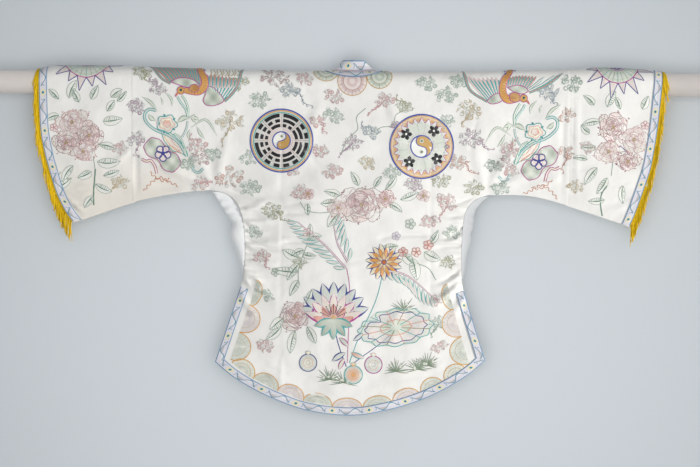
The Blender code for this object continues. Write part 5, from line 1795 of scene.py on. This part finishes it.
# Where the fronts are bare, in millimetres: beside their opening, round the neck and along the fold
BARE_BESIDE_OPENING = 6
BARE_BESIDE_NECK = 74
BARE_BELOW_NECK = 100
BARE_BELOW_FOLD = 20


def cloud(work, at, size, name, tail, pick):
    """A cluster of curls over pale silk with small commas between them, and sometimes a curled tail."""
    wide, high = size * PIXEL * 0.62, size * PIXEL * 0.43
    lean = pick.uniform(-0.5, 0.5)
    curls = max(int(size * 1.5), 14)
    for k in range(curls):
        share = math.sqrt((k + 0.5) / curls)
        a = 2.4 * k + pick.uniform(-0.4, 0.4)
        x, y = wide * share * math.cos(a), high * share * math.sin(a)
        middle = at + x * toward(lean) + y * np.array([-math.sin(lean), math.cos(lean)])
        radius = pick.uniform(3.0, 5.6)
        t = np.linspace(0, 1, 9)
        turn = pick.uniform(0, 6.28) + pick.choice((-1, 1)) * pick.uniform(3.4, 5.2) * t
        line = middle + np.stack([np.cos(turn), np.sin(turn)], axis=1) * (radius * (1 - 0.6 * t))[:, None]
        work.disc(middle, 0, radius, "white", 0.12, steps=7, rounds=1, rim="silver" if k % 3 else name)
        tone = mix(thread(name), thread("ivory" if k % 2 else "silver"), pick.uniform(0.2, 0.85))
        work.band(line, pick.uniform(1.0, 1.6), tone, 0.28, 0.35)
        if k % 2:
            work.petal(middle, math.degrees(a), pick.uniform(5, 8), pick.uniform(2.0, 3.0), name, "silver",
                       sway=0.4, lift=0.3, steps=5)
    if tail is not None:
        path = bend([at, mix(at, tail, 0.35) + (5, 3), mix(at, tail, 0.7) - (5, 3), tail], 2.2)
        work.band(path, np.linspace(1.8, 1.1, len(path)), thread(name), 0.25, 0.3)
        for k in range(6):
            middle = path[int((0.3 + 0.14 * k) * (len(path) - 1))] + pick.uniform(-3, 3)
            turn = np.linspace(0, 4.6, 8) + 2 * k
            curl = middle + np.stack([np.cos(turn), np.sin(turn)], axis=1) * (3.4 - 0.5 * turn[:, None] / 4)
            work.band(curl, 1.4, mix(thread(name), thread("silver"), 0.25), 0.28, 0.3)


def veined(work, at, turn, long, wide, fill, tip, line_name, vein, blunt, sway, veins, lift=0.2,
           halves=(-1, 1)):
    """A leaf or petal of pale silk with a drawn outline and slanting rows of stitches beside its rib."""
    t = np.linspace(0, 1, 9)
    rib = arching(at, turn, long, sway, t)
    half = wide / 2 * np.maximum(np.sin(math.pi * t ** blunt), 0.0) ** 0.75
    work.band(rib, 2 * half + 0.1, mix(thread(fill), thread(tip), t[:, None]), lift, 0.3)
    for way in (-1, 1):
        rim = rib + sideways(rib) * (way * half)[:, None]
        work.band(rim, 1.1, mix(thread(line_name), thread("silver"), 0.3), lift + 0.12, 0.3)
        for k in range(veins if way in halves else 0):
            share = (k + 0.6) / (veins + 0.6)
            i = share * 7
            root = rib[int(i)] * (1 - i % 1) + rib[int(i) + 1] * (i % 1)
            end = root + (rim[int(i) + 1] - root) * 0.9
            work.band([root, mix(root, end, 0.5), end], (1.3, 1.5, 0.6),
                      mix(thread(vein), thread("silver"), 0.55 * ((k + way) % 3) / 2), lift + 0.22, 0.25)
    return rib


def peony(work, at, wide, high, light, dark, rings, pick):
    """A full flower: rings of broad pale petals with drawn edges, knotted dots and a golden middle."""
    size = np.array([wide, high]) * PIXEL / 2
    line_name = "wine" if dark == "rose" and wide > 24 else "dusty_rose"
    for ring in range(rings):
        share = 1 - ring / (rings + 0.2)
        count = 8 - ring if wide > 30 else 6 if ring == 0 else 5
        first = pick.uniform(0, 6.28)
        for k in range(count):
            a = first + 2 * math.pi * (k + pick.uniform(-0.2, 0.2)) / count
            out = toward(a) * size
            root = at + out * share * 0.22
            tip = at + out * share * pick.uniform(0.78, 1.16)
            turn = math.degrees(math.atan2(tip[1] - root[1], tip[0] - root[0]))
            long = float(np.linalg.norm(tip - root))
            broad = 2 * math.pi * float(size.mean()) * share / count * pick.uniform(0.85, 1.15)
            tone = pick.choice(("ivory", "white", light))
            fill = dark if k % 4 == 1 and ring else light
            veined(work, root, turn, long, broad, fill, tone, line_name, dark, 1.7, pick.uniform(-0.25, 0.25),
                   3 if wide > 16 else 2, 0.2 + 0.22 * ring)
            if wide > 18 and ring == 0:
                for j in range(4):
                    dot = tip + np.array([pick.uniform(-5, 5), pick.uniform(-5, 5)])
                    work.disc(dot, 0, pick.uniform(0.9, 1.5), line_name, 0.5, rounds=1)
    for k in range(9):
        dot = at + toward(2.4 * k) * 1.5 * math.sqrt(k)
        work.disc(dot, 0, 1.1, "gold" if k % 2 else "sand", 0.6 + 0.22 * rings, rounds=1)


def leaf(work, at, turn, long, name, pick):
    """A curved pointed leaf in pale silk, one half of it hatched in deeper green."""
    way = 1 if name == "green" else -1
    turn += pick.uniform(-12, 12)
    length = long * pick.uniform(0.85, 1.2)
    wide = long * pick.uniform(0.36, 0.56)
    blunt = pick.uniform(0.7, 1.05)
    sway = way * pick.uniform(0.05, 0.4)
    rib = veined(work, at, turn, length, wide, "ivory", "white", "leaf", "leaf", blunt, sway, 8, halves=(way,))
    work.band(rib, (0.7, 1.2, 1.9, 2.4, 2.4, 2.0, 1.4, 0.9, 0.6), thread("dark_leaf"), 0.5, 0.3)


def tuft(work, at, blades, pick):
    """A tuft of thin arching blades with a few pale star flowers in it."""
    for k in range(blades * 2):
        turn = mix(-8, 188, k / (2 * blades - 1)) + pick.uniform(-5, 5)
        long = pick.uniform(9, 15) * PIXEL
        droop = -0.0252 if turn < 90 else 0.0252
        work.petal(at, turn, long, 2.1, "dark_leaf" if k % 3 else "moss", "grey_green", sway=droop, lift=0.22)
    for k in range(3):
        place = at + (pick.uniform(-14, 14), pick.uniform(2, 14))
        for j in range(6):
            work.petal(place, 60 * j, 3.6, 1.9, "ivory", "pale_green", lift=0.5, steps=5)


def scatter(name, flip):
    """Sews the scattered motifs on the back, or with flip on the fronts."""
    work = Needlework()
    pick = random.Random(SEED_FRONTS if flip else SEED_BACK)

    def put(px, py, room=14):
        """The motif's place. A motif that would cross the fronts' edge or the neck is left out."""
        at = spot(px, py)
        if not flip:
            return at
        at = at * (1, -1)
        near_neck = abs(at[0]) < BARE_BESIDE_NECK + room and at[1] < BARE_BELOW_NECK + room
        near_opening = abs(at[0]) < BARE_BESIDE_OPENING + room
        return None if at[1] < BARE_BELOW_FOLD or near_neck or near_opening else at

    for px, py, size, tone, tail_px, tail_py in CLOUDS:
        at = put(px, py)
        if at is not None:
            tail = spot(tail_px, tail_py) * (1, -1 if flip else 1) if tail_px else None
            cloud(work, at, size, tone, tail, pick)
    for tone, width, line in STEMS:
        places = [put(px, py, 2) for px, py in line]
        if all(place is not None for place in places):
            work.band(bend(places, 2.4), width, thread(tone), 0.25, 0.3)
    for px, py, turn, long, tone in LEAVES:
        at = put(px, py, 30)
        if at is not None:
            leaf(work, at, -turn if flip else turn, long * PIXEL, tone, pick)
    for px, py, radius, fill, edge in SMALL_FLOWERS:
        at = put(px, py)
        if at is not None:
            knot_blossom(work, at, radius * PIXEL, fill, edge, 5, 0.3, pick.uniform(0, 72))
    for px, py, blades in TUFTS:
        at = put(px, py, 34)
        if at is not None:
            tuft(work, at, blades, pick)
    for px, py, wide, high, light, dark, rings in PEONIES:
        at = put(px, py, wide)
        if at is not None:
            peony(work, at, wide, high, light, dark, rings, pick)
    return work.sew(name, silk)


scatter("embroidery_scattered_back", False)
scatter("embroidery_scattered_fronts", True)


# Middle of the back: a bouquet of a large lotus, a golden aster, plumed fronds, a broad lotus leaf and
# three seed heads, in the same teal, magenta, navy and gold cords as the birds.

# Stems: thread, width in millimetres, pixels along the stem
BOUQUET_STEMS = (
    ("navy", 2.0, ((337, 310), (336, 330), (341, 350), (347, 366))),
    ("teal", 1.8, ((384, 268), (376, 300), (360, 335), (350, 362))),
    ("navy", 1.6, ((396, 330), (378, 345), (360, 358), (350, 366))),
    ("magenta", 1.5, ((347, 268), (350, 290), (349, 330), (348, 362))),
)
# Fronds: pixels along the rib, feathers, side of the rib on which they grow
FRONDS = (
    (((346, 268), (326, 246), (298, 222)), 10, 1), (((348, 262), (338, 244), (334, 226)), 6, -1),
    (((386, 270), (408, 276), (432, 296)), 10, -1),
)
# The broad leaf: its middle in pixels, and in millimetres half its width, half its height and its slant
LEAF_PLACE = (396, 327)
LEAF_WIDE = 80
LEAF_HIGH = 40
LEAF_SLANT = 8
# Layers of the leaf: share of its size, two threads that drift into each other, thread of the edge, lift
LEAF_LAYERS = (
    (1.0, "pale_green", "silver", "teal", 0.3), (0.82, "silver", "pale_pink", "navy", 0.45),
    (0.42, "green", "pale_green", "salmon", 0.6),
)
LEAF_VEINS = 12
# The lotus: its middle in pixels, the length of its petals in millimetres
LOTUS = (334, 318)
LOTUS_SIZE = 80
# Rings of the lotus: petals, share of its size, thread, thread at the tip, thread of the edge
LOTUS_RINGS = (
    (9, 1.0, "pale_green", "silver", "navy"), (7, 0.80, "cream", "pale_pink", "magenta"),
    (5, 0.60, "pink", "salmon", "magenta"), (3, 0.40, "cream", "gold", "orange"),
)
# The aster: its middle in pixels, length and width of its petals in millimetres
ASTER = (384, 262)
ASTER_LONG = 41
ASTER_WIDE = 15
# Rings of the aster: petals, share of its size, thread, thread at the tip
ASTER_RINGS = ((15, 1.0, "gold", "cream"), (12, 0.78, "gold", "orange"), (8, 0.52, "cream", "gold"))
# Small leaves: px, py of the root, turn in degrees, length in millimetres, thread, thread at the tip, edge
SMALL_LEAVES = (
    (346, 352, 205, 34, "pale_green", "silver", "navy"), (345, 358, 235, 26, "cream", "pale_green", "magenta"),
    (352, 352, 330, 30, "salmon", "pale_pink", "teal"), (349, 346, 128, 28, "pale_green", "green", "magenta"),
    (354, 340, 30, 26, "silver", "pale_green", "navy"), (338, 332, 160, 22, "green", "pale_green", "teal"),
)
# Seed heads: px, py, radius in pixels, thread, thread of the edge
SEED_HEADS = (
    (309, 362, 10.5, "cream", "navy"), (354, 374, 11.0, "orange", "teal"),
    (374, 364, 10.5, "pale_green", "magenta"),
)
SEEDS = 7
CROWN_PETALS = 5


def frond(work, line, count, side):
    """A curved plume: feathers of pink silk in teal cords along one side of a teal rib."""
    rib = bend([spot(*place) for place in line], 2.4)
    roots = even(rib, count)
    step = np.gradient(roots, axis=0)
    step /= np.linalg.norm(step, axis=1)[:, None]
    for k, (root, along) in enumerate(zip(roots, step)):
        way = along * 0.75 + np.array([-along[1], along[0]]) * side
        turn = math.degrees(math.atan2(way[1], way[0]))
        long = 20 + 22 * math.sin(math.pi * (k + 1.2) / (count + 0.8))
        fill = "silver" if k % 2 else "pale_green"
        work.petal(root, turn, long, 9.5, fill, "pale_pink", "teal", -0.2 * side, 0.3 + 0.05 * (k % 2), 1.3, 8)
    work.band(rib, np.linspace(5.0, 2.0, len(rib)), thread("pale_green"), 0.5, 0.3, "magenta", 0.4)


def lotus_leaf(work, at):
    """A broad round leaf seen from above, with a cleft and veins."""
    def out(angle):
        high = math.sin(angle) * LEAF_HIGH + math.cos(angle) * LEAF_SLANT
        return np.array([math.cos(angle) * LEAF_WIDE, high])

    for share, fill, tone, edge, lift in LEAF_LAYERS:
        outline = []
        for k in range(48):
            a = 2 * math.pi * k / 48
            cleft = 0.3 * math.exp(-((a - 2.4) / 0.16) ** 2)
            outline.append(at + out(a) * share * (1 + 0.06 * math.cos(12 * a)) * (1 - cleft))
        work.patch(outline, fill, tone, edge, lift, 4.2, 1.6, 2.5)
    for k in range(LEAF_VEINS):
        vein = out(2 * math.pi * (k + 0.5) / LEAF_VEINS)
        places = [at + vein * share for share in (0.16, 0.6, 0.96)]
        work.cord(places, ("salmon", "teal", "moss")[k % 3], 1.3, 0.75)


def lotus(work, at, size):
    """A lotus from the side: rings of petals, small leaves below it and black stamens."""
    for ring, (count, share, fill, tone, edge) in enumerate(LOTUS_RINGS):
        root = at + (0, -size * 0.1 * ring)
        wide = size * 0.36 * (1 - 0.12 * ring)
        for k in range(count):
            turn = mix(8, 172, (k + 0.5) / count)
            work.petal(root, turn, size * share, wide, fill, tone, edge, 0.0, 0.25 + 0.2 * ring, 1.15, 10)
    for k in range(5):
        turn = mix(200, 340, k / 4)
        work.petal(at + (0, -2), turn, size * 0.55, size * 0.24, "pale_green", "grey_green", "teal", lift=1.1,
                   steps=8)
    for k in range(9):
        ray = toward(math.radians(mix(25, 155, k / 8))) * size
        work.cord([at + ray * 0.12, at + ray * 0.36], "black", 1.0, 1.35)
        work.disc(at + ray * 0.38, 0, 1.3, "black", 1.4, steps=7, rounds=1)


def aster(work, at):
    for ring, (count, share, fill, tone) in enumerate(ASTER_RINGS):
        for k in range(count):
            turn = 360 * (k + 0.5 * ring) / count
            work.petal(at, turn, ASTER_LONG * share, ASTER_WIDE * share, fill, tone, "navy", 0.12,
                       0.3 + 0.2 * ring, 1.3, 8)
    work.disc(at, 0, 5, "copper", 1.1, crown=0.4)
    work.ring(at, 5.2, 1.4, "navy", 1.2)


def seed_head(work, at, radius, fill, edge):
    """A round seed head of a lotus, with a ring of seeds and a crown of petals."""
    work.disc(at, 0, radius * PIXEL * 0.82, fill, 0.35, rim="silver", rounds=4, crown=0.5)
    work.ring(at, radius * PIXEL * 0.82, 1.8, edge, 0.6)
    work.ring(at, radius * PIXEL * 0.45, 1.2, "salmon", 0.7)
    for k in range(SEEDS):
        seed = toward(math.radians(20 + 360 * k / SEEDS)) * radius * PIXEL * 0.24
        work.disc(at + seed, 0, 1.9, edge, 0.7, steps=8)
    top = at + (0, radius * PIXEL * 0.75)
    for k in range(CROWN_PETALS):
        work.petal(top, 50 + 20 * k, radius * 0.9, radius * 0.36, fill, "cream", edge, 0, 0.7, 1.2)


bouquet = Needlework()
for tone, width, line in BOUQUET_STEMS:
    bouquet.band(bend([spot(*place) for place in line], 2.6), width, thread(tone), 0.22, 0.4)
for line, count, side in FRONDS:
    frond(bouquet, line, count, side)
lotus_leaf(bouquet, spot(*LEAF_PLACE))
lotus(bouquet, spot(*LOTUS), LOTUS_SIZE)
aster(bouquet, spot(*ASTER))
for px, py, turn, long, fill, tone, edge in SMALL_LEAVES:
    bouquet.petal(spot(px, py), turn, long, long * 0.42, fill, tone, edge, 0.15, 0.5, 1.0, 10)
for px, py, radius, fill, edge in SEED_HEADS:
    seed_head(bouquet, spot(px, py), radius, fill, edge)
bouquet.sew("embroidery_bouquet", silk)


# Stage: a pale grey-blue wall close behind the jacket, a plain pale floor far below it, soft light from
# the front, a low lamp at the right that brings out the creases, and a dim one behind.

WALL_TONE = (0.84, 0.885, 0.91)
FLOOR_TONE = (0.62, 0.63, 0.64)
WALL_BEHIND = 0.056
WALL_SPAN = 9.0
# Painted light: the wall's colour is painted palest at this place and darker away from it, up to a limit, like
# a pool of light
PALEST_X = 0.12
PALEST_Z = -0.42
DARKENING = 0.2
DARKEST = 0.5
FLOOR_BELOW = -2.2
PHOTO_WIDTH = 1.54
CAMERA_DISTANCE = 4.0
CAMERA_X = -0.0066
CAMERA_Z = -0.3298
CAMERA_ROLL = math.radians(0.28)
SENSOR = 36.0
SKY_TONE = (0.93, 0.96, 1.0, 1)
SKY_STRENGTH = 0.45
# Lamps: name, x, y, z, width in metres, power in watts, colour, what it lights
LAMPS = (
    ("key", 0.7, -3.8, -0.9, 3.4, 28, (1.0, 0.985, 0.965), "all"),
    ("fill", -0.9, -3.8, -0.8, 3.4, 16, (0.96, 0.98, 1.0), "all"),
    ("wall_wash", 0.0, -3.8, -0.85, 3.4, 34, (0.98, 0.98, 0.98), "wall"),
    ("skim", 6.0, -2.9, -1.75, 0.9, 430, (1.0, 0.985, 0.965), "garment"),
    ("back", 0.8, 3.2, -0.3, 2.4, 14, (1.0, 0.99, 0.97), "garment"),
)


def add_plane(name, centre, turn, span, surface):
    mesh = bpy.data.meshes.new(name)
    half = span / 2
    corners = [(-half, -half, 0), (half, -half, 0), (half, half, 0), (-half, half, 0)]
    mesh.from_pydata(corners, [], [(0, 1, 2, 3)])
    mesh.materials.append(surface.material)
    plane = bpy.data.objects.new(name, mesh)
    plane.location = centre
    plane.rotation_euler = turn
    bpy.context.scene.collection.objects.link(plane)
    return plane


wall = Surface("wall_paper", WALL_TONE, 0.95)
across, up, _ = wall.where()
# Painted light falloff: the wall's base colour darkens away from its palest place
painted_light_falloff = ((across - PALEST_X) * (across - PALEST_X) + (up - PALEST_Z) * (up - PALEST_Z)) * DARKENING
wall.set("Base Color", wall.mix(painted_light_falloff.use("MINIMUM", DARKEST), WALL_TONE, (0, 0, 0)))
behind = wall.tree.nodes.new("ShaderNodeNewGeometry")
wall.set("Alpha", Number(wall.tree, behind.outputs["Backfacing"]).less_from(1.0))
add_plane("backdrop", (0, WALL_BEHIND, 0), (math.radians(90), 0, 0), WALL_SPAN, wall)
floor = Surface("pale_floor", FLOOR_TONE, 0.9)
add_plane("floor", (0, 0, FLOOR_BELOW), (0, 0, 0), WALL_SPAN, floor)

beside_garment = ("backdrop", "floor", rod.name, gussets[1].name)
for name, x, y, z, width, power, colour, lights in LAMPS:
    light = bpy.data.lights.new(name, "AREA")
    light.size = width
    light.energy = power
    light.color = colour
    lamp = bpy.data.objects.new(name, light)
    lamp.location = (x, y, z)
    aim = Vector((0, 0, CAMERA_Z)) - lamp.location
    lamp.rotation_euler = aim.to_track_quat("-Z", "Y").to_euler()
    bpy.context.scene.collection.objects.link(lamp)
    if lights != "all":
        lit = bpy.data.collections.new("lit_by_" + name)
        for thing in bpy.context.scene.objects:
            if thing.type == "MESH" and (thing.name in beside_garment) == (lights == "wall"):
                lit.objects.link(thing)
        lamp.light_linking.receiver_collection = lit
        if name == "back":
            lamp.light_linking.blocker_collection = lit

world = bpy.data.worlds.new("studio")
bpy.context.scene.world = world
world.use_nodes = True
world.node_tree.nodes["Background"].inputs["Color"].default_value = SKY_TONE
world.node_tree.nodes["Background"].inputs["Strength"].default_value = SKY_STRENGTH
bpy.context.scene.view_settings.view_transform = "Standard"

lens = bpy.data.cameras.new("camera")
lens.sensor_width = SENSOR
lens.lens = SENSOR * CAMERA_DISTANCE / PHOTO_WIDTH
camera = bpy.data.objects.new("camera", lens)
camera.location = (CAMERA_X, -CAMERA_DISTANCE, CAMERA_Z)
camera.rotation_euler = (math.radians(90), -CAMERA_ROLL, 0)
bpy.context.scene.collection.objects.link(camera)
bpy.context.scene.camera = camera

bpy.context.view_layer.update()
